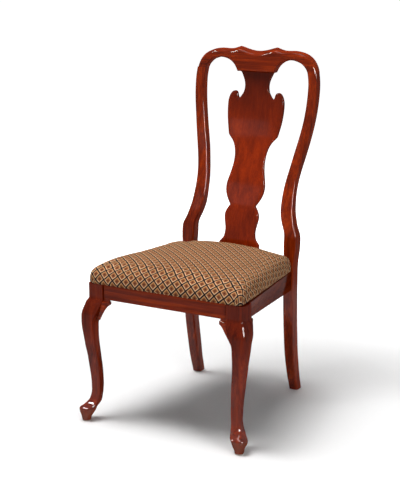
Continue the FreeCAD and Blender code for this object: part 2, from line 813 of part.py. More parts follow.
seat_screws = [
    seat_screw(post_in_x - reach / 4, post_in_y + reach / 4, front_block_z),
    seat_screw(rear_in_x - reach / 6, post_y - reach / 6 * 5, rear_block_z),
]

# Front and back rails
front_stock = sized_box(
    "front_rail_stock",
    "Sizes.front_width - 2 * Sizes.leg_post",
    "Sizes.rail_thickness",
    "Sizes.rail_depth",
    (
        "Sizes.leg_post - Sizes.front_width / 2",
        "%s + Sizes.rail_setback" % FRONT_TEXT,
        "Sizes.rail_top - Sizes.rail_depth",
    ),
)
front_holes = [dowel_hole(spot) for spot in front_dowels] + [screw_hole(*block_screws[0])]
cut_piece("front_rail", front_stock, front_holes + [mirrored(h) for h in front_holes] + [above_seat])

back_stock = sized_box(
    "back_rail_stock",
    "Sizes.rear_width - 2 * Sizes.leg_depth / 2",
    "Sizes.rail_thickness",
    "Sizes.back_rail_depth",
    (
        "Sizes.leg_depth / 2 - Sizes.rear_width / 2",
        BACK_RAIL_TEXT,
        "Sizes.rail_top + Sizes.back_rail_rise - Sizes.back_rail_depth",
    ),
)
back_holes = [dowel_hole(spot) for spot in back_dowels] + [screw_hole(*block_screws[3])]
back_cuts = [whole_post, mirrored(whole_post)] + back_holes + [mirrored(h) for h in back_holes]
cut_piece("back_rail", back_stock, back_cuts)


# Side rails, narrower and lower at the back
def side_rail_end(y, bottom, top):
    outer = side_outer_x(y)
    return Part.makePolygon([
        Vector(outer, y, bottom),
        Vector(outer, y, top),
        Vector(outer - rail_wide, y, top),
        Vector(outer - rail_wide, y, bottom),
        Vector(outer, y, bottom),
    ])


def side_rail_shape():
    run = post_y - post_in_y
    reach = size("leg_depth") / 2
    drop = size("side_bottom_drop") * reach / run
    front = side_rail_end(post_in_y, rail_bottom, size("rail_top"))
    rear = side_rail_end(post_y + reach, rear_rail_bottom - drop, size("rail_top"))
    rail = Part.makeLoft([front, rear], True, True)
    holes = [dowel_hole(spot) for spot in side_front_dowels + side_rear_dowels]
    holes += [screw_hole(*item) for item in block_screws[1:3]]
    behind = solid_box(0, half_front, post_y, post_y + size("leg_depth"), 0, size("knuckle_height"))
    return rail, rail.cut(holes + [above_seat, behind])


side_rail_stock, side_rail = side_rail_shape()
keep(feature("side_rail_right_shape", side_rail), "side_rail_right")
keep(feature("side_rail_left_shape", mirrored(side_rail)), "side_rail_left")

# Knee returns

# distance from the post as a share of the length, depth below the rail as a share of the rail depth,
# how far the top and the bottom of the face stand out, as shares of the thickness
RETURN_SHARES = (
    (-0.86, 1.50, 0.15, 0.45),
    (-0.57, 1.22, 0.21, 0.60),
    (-0.29, 0.98, 0.24, 0.68),
    (0.00, 0.77, 0.24, 0.66),
    (0.21, 0.64, 0.22, 0.55),
    (0.43, 0.53, 0.18, 0.42),
    (0.71, 0.425, 0.13, 0.26),
    (1.00, 0.345, 0.09, 0.13),
)


def return_block():
    face = front_y + size("rail_setback")
    back = face + size("return_thickness")
    top = rail_bottom - size("return_gap")
    edge = size("return_edge")
    wires = []
    for place, deep, out_top, out_low in RETURN_SHARES:
        x = post_in_x - place * size("return_length")
        low = rail_bottom - deep * size("rail_depth")
        corners = [
            Vector(x, face - out_top * size("return_thickness"), top),
            Vector(x, back, top),
            Vector(x, back, low),
            Vector(x, face - out_low * size("return_thickness"), low),
        ]
        wires.append(rounded_wire(corners, [edge] * 4))
    block = smooth_loft(wires)
    inner = post_in_x - size("return_length") + edge
    neck = solid_box(inner, post_in_x, face + edge, back - edge, top - 2 * edge, rail_bottom)
    return block.fuse(neck)


plain_return = return_block()
front_return = plain_return.cut([front_leg])
turned = plain_return.mirror(Vector(leg_x, leg_y, 0), Vector(1, 1, 0))
turned.rotate(
    Vector(half_front - size("rail_setback"), post_in_y, 0), Vector(0, 0, 1), math.degrees(side_turn)
)
side_return = turned.cut([front_leg, side_rail_stock])


def largest(shape):
    return max(shape.Solids, key=lambda solid: solid.Volume)


for name, shape in (("front", largest(front_return)), ("side", largest(side_return))):
    keep(feature("knee_return_%s_right_shape" % name, shape), "knee_return_%s_right" % name)
    keep(feature("knee_return_%s_left_shape" % name, mirrored(shape)), "knee_return_%s_left" % name)

for place, corners, z_text, own in (
    ("front", front_block_corners, front_block_z, block_screws[:2] + seat_screws[:1]),
    ("rear", rear_block_corners, rear_block_z, block_screws[2:] + seat_screws[1:]),
):
    for side, sign in (("right", 1), ("left", -1)):
        label = "corner_block_%s_%s" % (place, side)
        points = [("%d * (%s)" % (sign, a), b) for a, b in corners]
        stock = outline_body(
            label + "_stock", "XY_Plane", points, "Sizes.block_height", ("0", "0", z_text)
        )
        holes = [screw_hole(*item) for item in own]
        cut_piece(label, stock, [mirrored(hole) for hole in holes] if sign < 0 else holes)

for name, items in (("corner_block_screws", block_screws), ("seat_screws", seat_screws)):
    solids = [screw(*item) for item in items]
    keep(feature(name + "_shape", Part.makeCompound(solids + [mirrored(s) for s in solids])), name)

# Seat pad: board, foam and cover share one form, drawn in by an inset

# place from the front edge, how far the sides draw in as a share of the shoulder, height,
# height of the upright side and width of the round shoulder, as shares of their sizes
PAD_SHARES = (
    (0.0, 0.73, 0.356, 0.80, 0.35),
    (0.007, 0.36, 0.493, 0.90, 0.60),
    (0.018, 0.14, 0.603, 0.96, 0.80),
    (0.04, 0.0, 0.712, 1.0, 0.95),
    (0.133, 0.0, 0.91, 1.0, 1.0),
    (0.44, 0.0, 1.03, 1.0, 1.0),
    (0.73, 0.0, 1.06, 1.0, 1.0),
    (0.93, 0.0, 0.94, 1.0, 1.0),
    (0.97, 0.10, 0.73, 1.0, 0.9),
    (0.99, 0.33, 0.53, 0.95, 0.6),
    (1.0, 0.64, 0.40, 0.85, 0.4),
)
crown_start_share = 0.7
side_round_share = 0.23


def pad_half(y):
    front = half_front + size("pad_side_overhang")
    rear = half_rear + size("pad_side_overhang")
    return front - (front - rear) * y / pad_depth


def pad_section(row, inset_by, low):
    place, drawn, high, side, shoulder = row
    y = inset_by + place * (pad_depth - 2 * inset_by)
    half = pad_half(y) - inset_by - drawn * size("pad_shoulder")
    top = high * size("pad_crown") - inset_by
    upright = side * size("pad_side") - inset_by / 2
    bulge = size("pad_bulge")
    start_x = half - shoulder * size("pad_shoulder")
    start_z = upright + crown_start_share * (top - upright)
    foot = Vector(half - bulge, y, low)
    belly = Vector(half, y, upright / 2)
    ledge = Vector(half - bulge / 2, y, upright)
    crown = Vector(start_x, y, start_z)
    chord = crown - ledge
    outward = Vector(chord.z, 0, -chord.x)
    turn = ledge + chord / 2 + outward * side_round_share
    right_side = [foot, belly, ledge, turn, crown]
    left_side = [Vector(-point.x, y, point.z) for point in right_side[::-1]]
    points = right_side + [Vector(0, y, top)] + left_side
    arcs = [Part.Arc(*points[i:i + 3]).toShape() for i in range(0, len(points) - 2, 2)]
    return Part.Wire([Part.LineSegment(points[-1], foot).toShape()] + arcs)


def pad_form(inset_by, low):
    return smooth_loft([pad_section(row, inset_by, low) for row in PAD_SHARES])


cover_in = size("cover_thickness")
stuffing_in = cover_in + fit
lap = size("cover_lap")
window = Part.Face(Part.makePolygon([
    Vector(pad_half(lap) - lap, lap, -over),
    Vector(pad_half(pad_depth - lap) - lap, pad_depth - lap, -over),
    Vector(lap - pad_half(pad_depth - lap), pad_depth - lap, -over),
    Vector(lap - pad_half(lap), lap, -over),
    Vector(pad_half(lap) - lap, lap, -over),
])).extrude(Vector(0, 0, cover_in + 2 * over))

# Tacks hold the cover's lap and the dust cover under the board.
tack_in = size("tack_edge")
tack_low = -size("dust_cover_thickness") - size("tack_head_height")


def even_places(first, last):
    count = max(2, round((last - first) / size("tack_pitch")) + 1)
    return [first + (last - first) * i / (count - 1) for i in range(count)]


tack_spots = []
front_run = post_in_x - size("tack_head")
for x in even_places(-front_run, front_run):
    tack_spots.append((x, tack_in))
side_first = post + size("pad_overhang") + size("tack_head")
for y in even_places(side_first, pad_depth - tack_in):
    tack_spots.append((pad_half(y) - tack_in, y))
    tack_spots.append((tack_in - pad_half(y), y))
rear_run = pad_half(pad_depth - tack_in) - tack_in
for x in even_places(-rear_run, rear_run)[1:-1]:
    tack_spots.append((x, pad_depth - tack_in))


def tack(x, y):
    shank = rod(size("tack_shank"), Vector(x, y, tack_low), z_dir, size("tack_length"))
    return shank.fuse(rod(size("tack_head"), Vector(x, y, tack_low), z_dir, size("tack_head_height")))


def tack_hole(x, y):
    wide = size("tack_shank") + 2 * size("hole_clearance")
    return rod(wide, Vector(x, y, tack_low), z_dir, size("tack_length") + size("dowel_end_gap"))


tack_holes = [tack_hole(*spot) for spot in tack_spots]
bite_holes = [screw_hole(*item) for item in seat_screws]
bite_holes = [on_seat(hole) for hole in bite_holes + [mirrored(h) for h in bite_holes]]

board_slab = solid_box(
    -half_front, half_front, -over, pad_depth, 0, stuffing_in + size("board_thickness")
)
stuffing = pad_form(stuffing_in, stuffing_in)
board = stuffing.common(board_slab).cut(tack_holes + bite_holes)
foam_floor = solid_box(
    -half_front - over, half_front + over, -over, pad_depth, -over,
    stuffing_in + size("board_thickness") + fit,
)
foam = stuffing.cut(foam_floor)
cover = pad_form(0, 0).cut([pad_form(cover_in, cover_in), window]).cut(tack_holes + bite_holes)
keep(feature("seat_board_shape", board, seat_place), "seat_board")
keep(feature("seat_foam_shape", foam, seat_place), "seat_foam")
keep(feature("seat_cover_shape", cover, seat_place), "seat_cover")
tacks = Part.makeCompound([tack(*spot) for spot in tack_spots])
keep(feature("seat_tacks_shape", tacks, seat_place), "seat_tacks")

# Dust cover under the board, inside the rails and clear of the posts
PAD_FRONT_TEXT = "(%s - Sizes.pad_overhang)" % FRONT_TEXT
near_text = "%s + Sizes.dust_cover_margin" % RAIL_IN_TEXT
notch_text = "%s + Sizes.dust_cover_margin" % POST_Y_TEXT
far_text = "%s + %s - 4 * Sizes.dust_cover_margin" % (PAD_FRONT_TEXT, PAD_DEPTH_TEXT)
sheet_corners = [
    ("%s - Sizes.dust_cover_margin" % POST_X_TEXT, near_text),
    ("%s - Sizes.dust_cover_margin" % POST_X_TEXT, notch_text),
    ("%s - Sizes.dust_cover_margin" % side_inner_text("(%s)" % notch_text), notch_text),
    ("%s - Sizes.dust_cover_margin" % side_inner_text("(%s)" % far_text), far_text),
]
sheet_corners += [("-1 * (%s)" % a, b) for a, b in sheet_corners[::-1]]
sheet_corners = [(a, "%s - %s" % (b, PAD_FRONT_TEXT)) for a, b in sheet_corners]
dust_stock = outline_body(
    "dust_cover_stock", "XY_Plane", sheet_corners, "Sizes.dust_cover_thickness", ("0", "0", "0")
)
for axis in "xyz":
    dust_stock.setExpression("Placement.Base." + axis, None)
below_seat = Placement(Vector(0, 0, -size("dust_cover_thickness")), Rotation())
dust_stock.Placement = seat_place.multiply(below_seat)
sheet_holes = []
for hole in tack_holes + bite_holes:
    moved = hole.copy()
    moved.Placement = seat_place.multiply(moved.Placement)
    sheet_holes.append(moved)
cut_piece("dust_cover", dust_stock, sheet_holes)


# Dowels
def dowel_set(label, spots):
    pegs = []
    for middle, direction, length_text in spots:
        peg = doc.addObject("Part::Cylinder", label + "_peg")
        peg.setExpression("Radius", "Sizes.dowel_diameter / 2")
        peg.setExpression("Height", length_text)
        start = middle - direction * (worth(length_text) / 2)
        peg.Placement = Placement(start, Rotation(z_dir, direction))
        pegs.append(peg)
    group = doc.addObject("Part::Compound", label + "_set")
    group.Links = pegs
    doc.recompute()
    return keep(group, label)


def one_side(spots, side):
    return [(Vector(side * spot.x, spot.y, spot.z), direction) for spot, direction, _ in spots]


def both_sides(spots):
    return one_side(spots, 1) + one_side(spots, -1)


for label, spots, text in (
    ("front_rail_dowels", both_sides(front_dowels), "Sizes.dowel_length"),
    ("back_rail_dowels", both_sides(back_dowels), "Sizes.dowel_length"),
    ("side_rail_dowels_right", one_side(side_front_dowels + side_rear_dowels, 1), "Sizes.dowel_length"),
    ("side_rail_dowels_left", one_side(side_front_dowels + side_rear_dowels, -1), "Sizes.dowel_length"),
    ("crest_dowels", both_sides(crest_dowels), "Sizes.crest_dowel_length"),
):
    dowel_set(label, [(spot, direction, text) for spot, direction in spots])

# Nailed glides under the feet
for label, x, y in (
    ("glide_front_right", foot_x, foot_y),
    ("glide_front_left", -foot_x, foot_y),
    ("glide_rear_right", rear_foot_x, rear_foot_y),
    ("glide_rear_left", -rear_foot_x, rear_foot_y),
):
    disc = doc.addObject("Part::Cylinder", label + "_disc")
    disc.setExpression("Radius", "Sizes.glide_diameter / 2")
    disc.setExpression("Height", "Sizes.glide_height")
    disc.Placement = Placement(Vector(x, y, 0), Rotation())
    nail = doc.addObject("Part::Cylinder", label + "_nail")
    nail.setExpression("Radius", "Sizes.nail_diameter / 2")
    nail.setExpression("Height", "Sizes.glide_height + Sizes.nail_length")
    nail.Placement = Placement(Vector(x, y, 0), Rotation())
    glide = doc.addObject("Part::Fuse", label + "_whole")
    glide.Base = disc
    glide.Tool = nail
    doc.recompute()
    keep(glide, label)

# Checks before anything is written
doc.recompute()
for obj in doc.Objects:
    if "Invalid" in obj.State or "Error" in obj.State:
        raise RuntimeError("%s did not build" % obj.Name)
side_dowels = len(side_front_dowels + side_rear_dowels)
expected = {
    "corner_block_screws": len(block_screws) + len(block_screws),
    "seat_screws": len(seat_screws) + len(seat_screws),
    "seat_tacks": len(tack_spots),
    "front_rail_dowels": len(front_dowels) + len(front_dowels),
    "back_rail_dowels": len(back_dowels) + len(back_dowels),
    "crest_dowels": len(crest_dowels) + len(crest_dowels),
    "side_rail_dowels_left": side_dowels,
    "side_rail_dowels_right": side_dowels,
}
for piece in pieces:
    shape = piece.Shape
    if shape.isNull() or not shape.isValid():
        raise RuntimeError("%s has no valid shape" % piece.Label)
    if len(shape.Solids) != expected.get(piece.Label, 1):
        raise RuntimeError("%s has %d solids" % (piece.Label, len(shape.Solids)))

os.makedirs("parts", exist_ok=True)
whole = Part.makeCompound([piece.Shape for piece in pieces]).BoundBox
print("box X", round(whole.XMin, 1), round(whole.XMax, 1))
print("box Y", round(whole.YMin, 1), round(whole.YMax, 1))
print("box Z", round(whole.ZMin, 1), round(whole.ZMax, 1))
for piece in pieces:
    piece.Shape.exportStep("parts/%s.step" % piece.Label)
print(len(pieces), "pieces")
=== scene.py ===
import bpy
import bmesh
import math
import numpy as np
from mathutils import Matrix, Vector
from mathutils.bvhtree import BVHTree
from mathutils.geometry import delaunay_2d_cdt


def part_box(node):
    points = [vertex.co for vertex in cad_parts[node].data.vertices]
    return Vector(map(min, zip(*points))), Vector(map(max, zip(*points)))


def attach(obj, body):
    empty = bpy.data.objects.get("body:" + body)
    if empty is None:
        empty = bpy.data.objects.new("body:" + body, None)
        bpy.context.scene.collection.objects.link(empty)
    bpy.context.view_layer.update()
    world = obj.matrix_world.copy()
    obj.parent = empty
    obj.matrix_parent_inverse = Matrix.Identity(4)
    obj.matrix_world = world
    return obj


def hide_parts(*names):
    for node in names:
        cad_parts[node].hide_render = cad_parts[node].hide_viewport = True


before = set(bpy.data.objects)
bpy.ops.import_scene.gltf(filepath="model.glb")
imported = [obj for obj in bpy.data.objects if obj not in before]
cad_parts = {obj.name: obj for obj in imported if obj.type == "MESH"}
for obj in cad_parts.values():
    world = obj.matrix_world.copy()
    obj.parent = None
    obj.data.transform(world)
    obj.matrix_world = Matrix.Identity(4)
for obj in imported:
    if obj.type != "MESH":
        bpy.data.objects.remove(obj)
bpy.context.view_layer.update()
scene = bpy.context.scene
print("frame loaded:", len(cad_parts), "nodes")

# metres, seen from the front: X right, Y back, Z up, floor at 0
seat = {
    "frontY": -0.27925, "depth": 0.453, "frontHalf": 0.248, "rearHalf": 0.189, "post": 0.0516,
    "railTop": 0.413, "railDepth": 0.0435, "railThick": 0.022, "setback": 0.0024,
    "sideDrop": 0.012, "sideBottomDrop": 0.028, "padFront": 0.002,
    "backRailRise": 0.011, "backRailDepth": 0.076, "backRailSetback": 0.006,
}
rearY = seat["frontY"] + seat["depth"]
railBottom = seat["railTop"] - seat["railDepth"]
postInX = seat["frontHalf"] - seat["post"]
postInY = seat["frontY"] + seat["post"]
legX = seat["frontHalf"] - seat["post"] / 2
legY = seat["frontY"] + seat["post"] / 2
sideSlope = (seat["frontHalf"] - seat["rearHalf"]) / (seat["depth"] - seat["post"])
seatTilt = math.atan(seat["sideDrop"] / seat["depth"])
seatPlace = (
    Matrix.Translation((0, seat["frontY"] - seat["padFront"], seat["railTop"]))
    @ Matrix.Rotation(-seatTilt, 4, "X")
)


def seatPlaneZ(y):  # height of the frame's sloping top edge
    return seat["railTop"] - (y - seat["frontY"] + seat["padFront"]) * math.tan(seatTilt)


def splineRows(places, rows, at):  # natural cubic spline through rows of numbers
    x = np.array(places, float)
    y = np.array(rows, float).reshape(len(x), -1)
    h = np.diff(x)
    a = np.eye(len(x))
    b = np.zeros_like(y)
    for i in range(1, len(x) - 1):
        a[i, i - 1:i + 2] = h[i - 1], 2 * (h[i - 1] + h[i]), h[i]
        b[i] = 6 * ((y[i + 1] - y[i]) / h[i] - (y[i] - y[i - 1]) / h[i - 1])
    bend = np.linalg.solve(a, b)
    at = np.array(at, float)
    k = np.clip(np.searchsorted(x, at) - 1, 0, len(x) - 2)
    left, right, wide = (at - x[k])[:, None], (x[k + 1] - at)[:, None], h[k][:, None]
    return (
        (bend[k] * right ** 3 + bend[k + 1] * left ** 3) / (6 * wide)
        + (y[k] / wide - bend[k] * wide / 6) * right
        + (y[k + 1] / wide - bend[k + 1] * wide / 6) * left
    )


def tableRows(table, at):  # a table's rows between its own, its first column says where they are
    return splineRows([row[0] for row in table], [row[1:] for row in table], at)


def evened(table, count):  # the table's rows at even steps of its first column
    at = np.linspace(table[0][0], table[-1][0], count)
    return zip(at, tableRows(table, at))


def stepsAlong(points):  # distance from the first point to each
    steps = [0]
    for before, after in zip(points, points[1:]):
        steps.append(steps[-1] + math.dist(before, after))
    return steps


def quarterRound(radius, count):  # a rounded edge, as how far each step lies inwards and up
    angles = [k * math.pi / 2 / count for k in range(count + 1)]
    return [(radius * (1 - math.sin(angle)), radius * (1 - math.cos(angle))) for angle in angles]


def roundedRing(corners, radii, arcSteps=6, sideSteps=4):  # closed ring of points, corners rounded
    corners = [Vector(c) for c in corners]
    ends = []
    for i, here in enumerate(corners):
        back = (corners[i - 1] - here).normalized()
        ahead = (corners[(i + 1) % len(corners)] - here).normalized()
        half = back.angle(ahead) / 2
        reach = radii[i] / math.tan(half)
        centre = here + (back + ahead).normalized() * (radii[i] / math.sin(half))
        ends.append((here + back * reach, centre, here + ahead * reach))
    ring = []
    for i, (first, centre, last) in enumerate(ends):
        fromSide, toSide = first - centre, last - centre
        turn = fromSide.angle(toSide)
        for s in range(arcSteps + 1):
            t = s / arcSteps
            spoke = fromSide * math.sin((1 - t) * turn) + toSide * math.sin(t * turn)
            ring.append(centre + spoke / math.sin(turn))
        following = ends[(i + 1) % len(ends)][0]
        ring += [last.lerp(following, s / sideSteps) for s in range(1, sideSteps)]
    return ring


def newMesh(points, faces):
    mesh = bpy.data.meshes.new("piece")
    mesh.from_pydata([tuple(p) for p in points], [], faces)
    return mesh


def bandFaces(rows, wide):  # four-sided faces between neighbouring rings
    faces = []
    for a in range(0, (rows - 1) * wide, wide):
        for i in range(wide):
            j = (i + 1) % wide
            faces.append((a + i, a + j, a + wide + j, a + wide + i))
    return faces


def skinRings(rings):  # closed skin over a row of rings, with flat ends
    points = [p for ring in rings for p in ring]
    wide = len(rings[0])
    faces = bandFaces(len(rings), wide)
    faces.append(tuple(range(wide))[::-1])
    faces.append(tuple(range(len(points) - wide, len(points))))
    return newMesh(points, faces)


def tidyMesh(mesh, weld=0.00002):  # faces outwards, doubles merged
    work = bmesh.new()
    work.from_mesh(mesh)
    bmesh.ops.remove_doubles(work, verts=work.verts, dist=weld)
    bmesh.ops.dissolve_degenerate(work, dist=weld, edges=work.edges)
    bmesh.ops.recalc_face_normals(work, faces=work.faces)
    work.to_mesh(mesh)
    work.free()
    return mesh


def linked(name, mesh):
    piece = bpy.data.objects.new(name, mesh)
    scene.collection.objects.link(piece)
    return piece


def place(name, mesh, material, nodes, sharp=38):  # finished piece on the frame
    mesh.name = name
    mesh.materials.clear()
    mesh.materials.append(material)
    mesh.polygons.foreach_set("use_smooth", [True] * len(mesh.polygons))
    mesh.set_sharp_from_angle(angle=math.radians(sharp))
    piece = linked(name, mesh)
    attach(piece, "root")
    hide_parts(*nodes)
    return piece


def placePair(name, mesh, material, node, sharp=38):  # the right piece and its mirrored twin on the left
    twin = mesh.copy()
    twin.transform(Matrix.Scale(-1, 4, (1, 0, 0)))
    place(name + "Left", tidyMesh(twin), material, [node + "_left"], sharp)
    place(name + "Right", mesh, material, [node + "_right"], sharp)


# shader maths: a socket with operators, and one way to add any other node

class Flow:
    def __init__(self, graph, socket):
        self.graph = graph
        self.socket = socket

    def output(self, key):  # another output of the same node
        return Flow(self.graph, self.socket.node.outputs[key])

    def maths(self, operation, first, second=None):
        values = {0: first} if second is None else {0: first, 1: second}
        return self.graph.add("ShaderNodeMath", {"operation": operation}, values)

    def __add__(self, other):
        return self.maths("ADD", self, other)

    __radd__ = __add__

    def __sub__(self, other):
        return self.maths("SUBTRACT", self, other)

    def __rsub__(self, other):
        return self.maths("SUBTRACT", other, self)

    def __mul__(self, other):
        return self.maths("MULTIPLY", self, other)

    __rmul__ = __mul__

    def __truediv__(self, other):
        return self.maths("DIVIDE", self, other)

    def fract(self):
        return self.maths("FRACT", self)

    def sine(self):
        return self.maths("SINE", self)

    def size(self):
        return self.maths("ABSOLUTE", self)

    def largest(self, other):
        return self.maths("MAXIMUM", self, other)

    def step(self, low, high):  # 0 below low, 1 above high
        values = {"Value": self, "From Min": low, "From Max": high}
        return self.graph.add("ShaderNodeMapRange", {"interpolation_type": "SMOOTHSTEP"}, values)


class Graph:
    def __init__(self, name, kind="materials"):
        self.owner = getattr(bpy.data, kind).new(name)
        self.owner.use_nodes = True
        self.tree = self.owner.node_tree
        self.tree.nodes.clear()

    def add(self, kind, settings=None, values=None, output=0):
        made = self.tree.nodes.new(kind)
        for key, value in (settings or {}).items():
            if key == "stops":
                ramp = made.color_ramp
                while len(ramp.elements) < len(value):
                    ramp.elements.new(0.5)
                for element, (spot, colour) in zip(ramp.elements, value):
                    element.position = spot
                    element.color = (*colour, 1)
            else:
                setattr(made, key, value)
        for key, value in (values or {}).items():
            socket = made.inputs[key]
            if isinstance(value, Flow):
                self.tree.links.new(value.socket, socket)
            elif isinstance(value, tuple) and len(value) == 3 and socket.type == "RGBA":
                socket.default_value = (*value, 1)
            else:
                socket.default_value = value
        return Flow(self, made.outputs[output]) if len(made.outputs) else None

    def mix(self, factor, first, second, blend="MIX"):  # colours
        settings = {"data_type": "RGBA", "blend_type": blend}
        return self.add("ShaderNodeMix", settings, {0: factor, 6: first, 7: second}, 2)

    def coords(self):
        return self.add("ShaderNodeTexCoord", None, None, "Object")

    def mapped(self, vector, **values):
        return self.add("ShaderNodeMapping", None, {"Vector": vector, **values})

    def noise(self, vector, scale, detail, **more):
        values = {"Vector": vector, "Scale": scale, "Detail": detail, **more}
        return self.add("ShaderNodeTexNoise", None, values)

    def bump(self, strength, distance, height):
        values = {"Strength": strength, "Distance": distance, "Height": height}
        return self.add("ShaderNodeBump", None, values)

    def seen(self):  # 1 where the camera, a reflection or clear glass looks
        path = self.add("ShaderNodeLightPath", None, None, "Is Camera Ray")
        return path.largest(path.output("Is Glossy Ray")).largest(path.output("Is Transmission Ray"))

    def surface(self, values):
        shader = self.add("ShaderNodeBsdfPrincipled", None, values)
        self.add("ShaderNodeOutputMaterial", None, {"Surface": shader})
        return self.owner


# stained wood: stretched noise for the grain, painted shade and a painted reflection of the pale floor by
# height, more gloss low down

grain = {
    "bands": (52, 52, 3.0), "streaks": (420, 420, 9), "pores": (1500, 1500, 60), "broad": 5,
    "bandShare": 1.0, "streakShare": 0.75, "broadShare": 0.5, "level": 0.48, "stops": (0.18, 0.5, 0.85),
    "poreFrom": 0.58, "poreTo": 0.75, "poreShare": 0.45, "bump": 0.06, "bumpHigh": 0.0004,
    "floorReflectionSoft": 0.004, "floorReflectionUneven": 0.006, "floorReflectionShare": 0.7,
}
woodLook = {
    "dark": (0.064, 0.0050, 0.0006), "middle": (0.195, 0.0165, 0.0010), "light": (0.42, 0.044, 0.0020),
    "streak": (0.038, 0.0036, 0.0010), "roughness": 0.45, "gloss": 0.0,
    "coat": 0.2, "coatRoughness": 0.07, "coatIor": 1.4, "lowCoat": 0.8, "lowFrom": 0.30, "lowTo": 0.39,
    "shade": 0.0,
}


def stainedWood(name, along, look, shift=0.0, contrast=1.0):  # along: the axis the grain follows
    g = Graph(name)
    coords = g.coords()
    turn = {"x": (0, math.pi / 2, 0), "y": (math.pi / 2, 0, 0), "z": (0, 0, 0)}[along]
    turned = g.mapped(coords, Rotation=turn, Location=(shift, shift, shift))
    figure = g.noise(g.mapped(turned, Scale=grain["bands"]), 1, 5, Distortion=0.9)
    fine = g.noise(g.mapped(turned, Scale=grain["streaks"]), 1, 3, Roughness=0.6)
    pore = g.noise(g.mapped(turned, Scale=grain["pores"]), 1, 1)
    broad = g.noise(turned, grain["broad"], 2)
    bands = (figure - 0.5) * (grain["bandShare"] * contrast)
    streaks = (fine - 0.5) * (grain["streakShare"] * contrast)
    stain = bands + streaks + (broad - 0.5) * grain["broadShare"] + grain["level"]
    stops = tuple(zip(grain["stops"], (look["dark"], look["middle"], look["light"])))
    tone = g.add("ShaderNodeValToRGB", {"stops": stops}, {"Fac": stain})
    pores = pore.step(grain["poreFrom"], grain["poreTo"])
    colour = g.mix(pores * grain["poreShare"], tone, look["streak"])
    height = g.add("ShaderNodeSeparateXYZ", None, {"Vector": coords}, 2)
    if look["shade"]:  # painted shade: darker towards the top, under the seat rail on the legs and under the crest on the splat
        paintedShade = height.step(look["paintedShadeFrom"], look["paintedShadeTo"]) * look["shade"]
        colour = g.mix(paintedShade, colour, look["dark"])
    if "paintedFloorReflection" in look:  # painted reflection of the pale floor: paler on the feet below the rim
        uneven = height + (figure - 0.5) * grain["floorReflectionUneven"]
        paintedFloorReflection = uneven.step(look["floorReflectionBelow"] + grain["floorReflectionSoft"], look["floorReflectionBelow"])
        colour = g.mix(paintedFloorReflection * grain["floorReflectionShare"], colour, look["paintedFloorReflection"])
    polish = look["coat"]
    if polish:  # varnish, rubbed to a higher gloss low down than on the back
        grazing = g.add("ShaderNodeLayerWeight", None, {"Blend": 0.5}, "Facing")
        lower = 1 - height.step(look["lowFrom"], look["lowTo"])
        polish = (1 - grazing.step(0.25, 0.8) * 0.9) * (lower * (look["lowCoat"] - polish) + polish)
    return g.surface({
        "Base Color": colour, "Roughness": fine * 0.12 + (look["roughness"] - 0.06),
        "Normal": g.bump(grain["bump"], grain["bumpHigh"], pore * 0.5 + fine), "Coat Weight": polish,
        "Coat Roughness": look["coatRoughness"], "Coat IOR": look["coatIor"],
        "Specular IOR Level": look["gloss"],
    })


# legs: painted shade on the post under the seat rail, and a painted reflection of the pale floor on the
# feet
legLook = dict(
    woodLook, middle=(0.195, 0.0160, 0.0016), light=(0.37, 0.037, 0.0030), paintedShadeFrom=0.26, paintedShadeTo=0.36,
    shade=0.45, floorReflectionBelow=0.036, paintedFloorReflection=(0.21, 0.042, 0.016), lowFrom=0.16, lowTo=0.34, lowCoat=0.65,
)
# painted shade: a darker copy of the stain for the side rails and the side knee returns
sidePaintedShadeLook = dict(woodLook, middle=(0.125, 0.0120, 0.0009), light=(0.24, 0.027, 0.0014), coat=0.7)
# splat: painted shade towards the top, under the crest
splatLook = dict(
    woodLook, middle=(0.235, 0.0185, 0.0010), light=(0.42, 0.040, 0.0020), paintedShadeFrom=0.74, paintedShadeTo=0.98,
    shade=0.75,
)
woodUp = stainedWood("stainedWoodUp", "z", woodLook)
woodLeg = stainedWood("stainedWoodLeg", "z", legLook, 0.9)
woodAcross = stainedWood("stainedWoodAcross", "x", woodLook, 0.3)
woodBackPaintedShade = stainedWood("stainedWoodBackPaintedShade", "y", sidePaintedShadeLook, 0.7)
woodSplat = stainedWood("stainedWoodSplat", "z", splatLook, 1.1, 0.6)
print("stained wood ready")

# front legs: height share, middle to the side and to the front as shares of the toe's shift,
# half width as a share of half the post, outer and other corner radii as shares of the half width

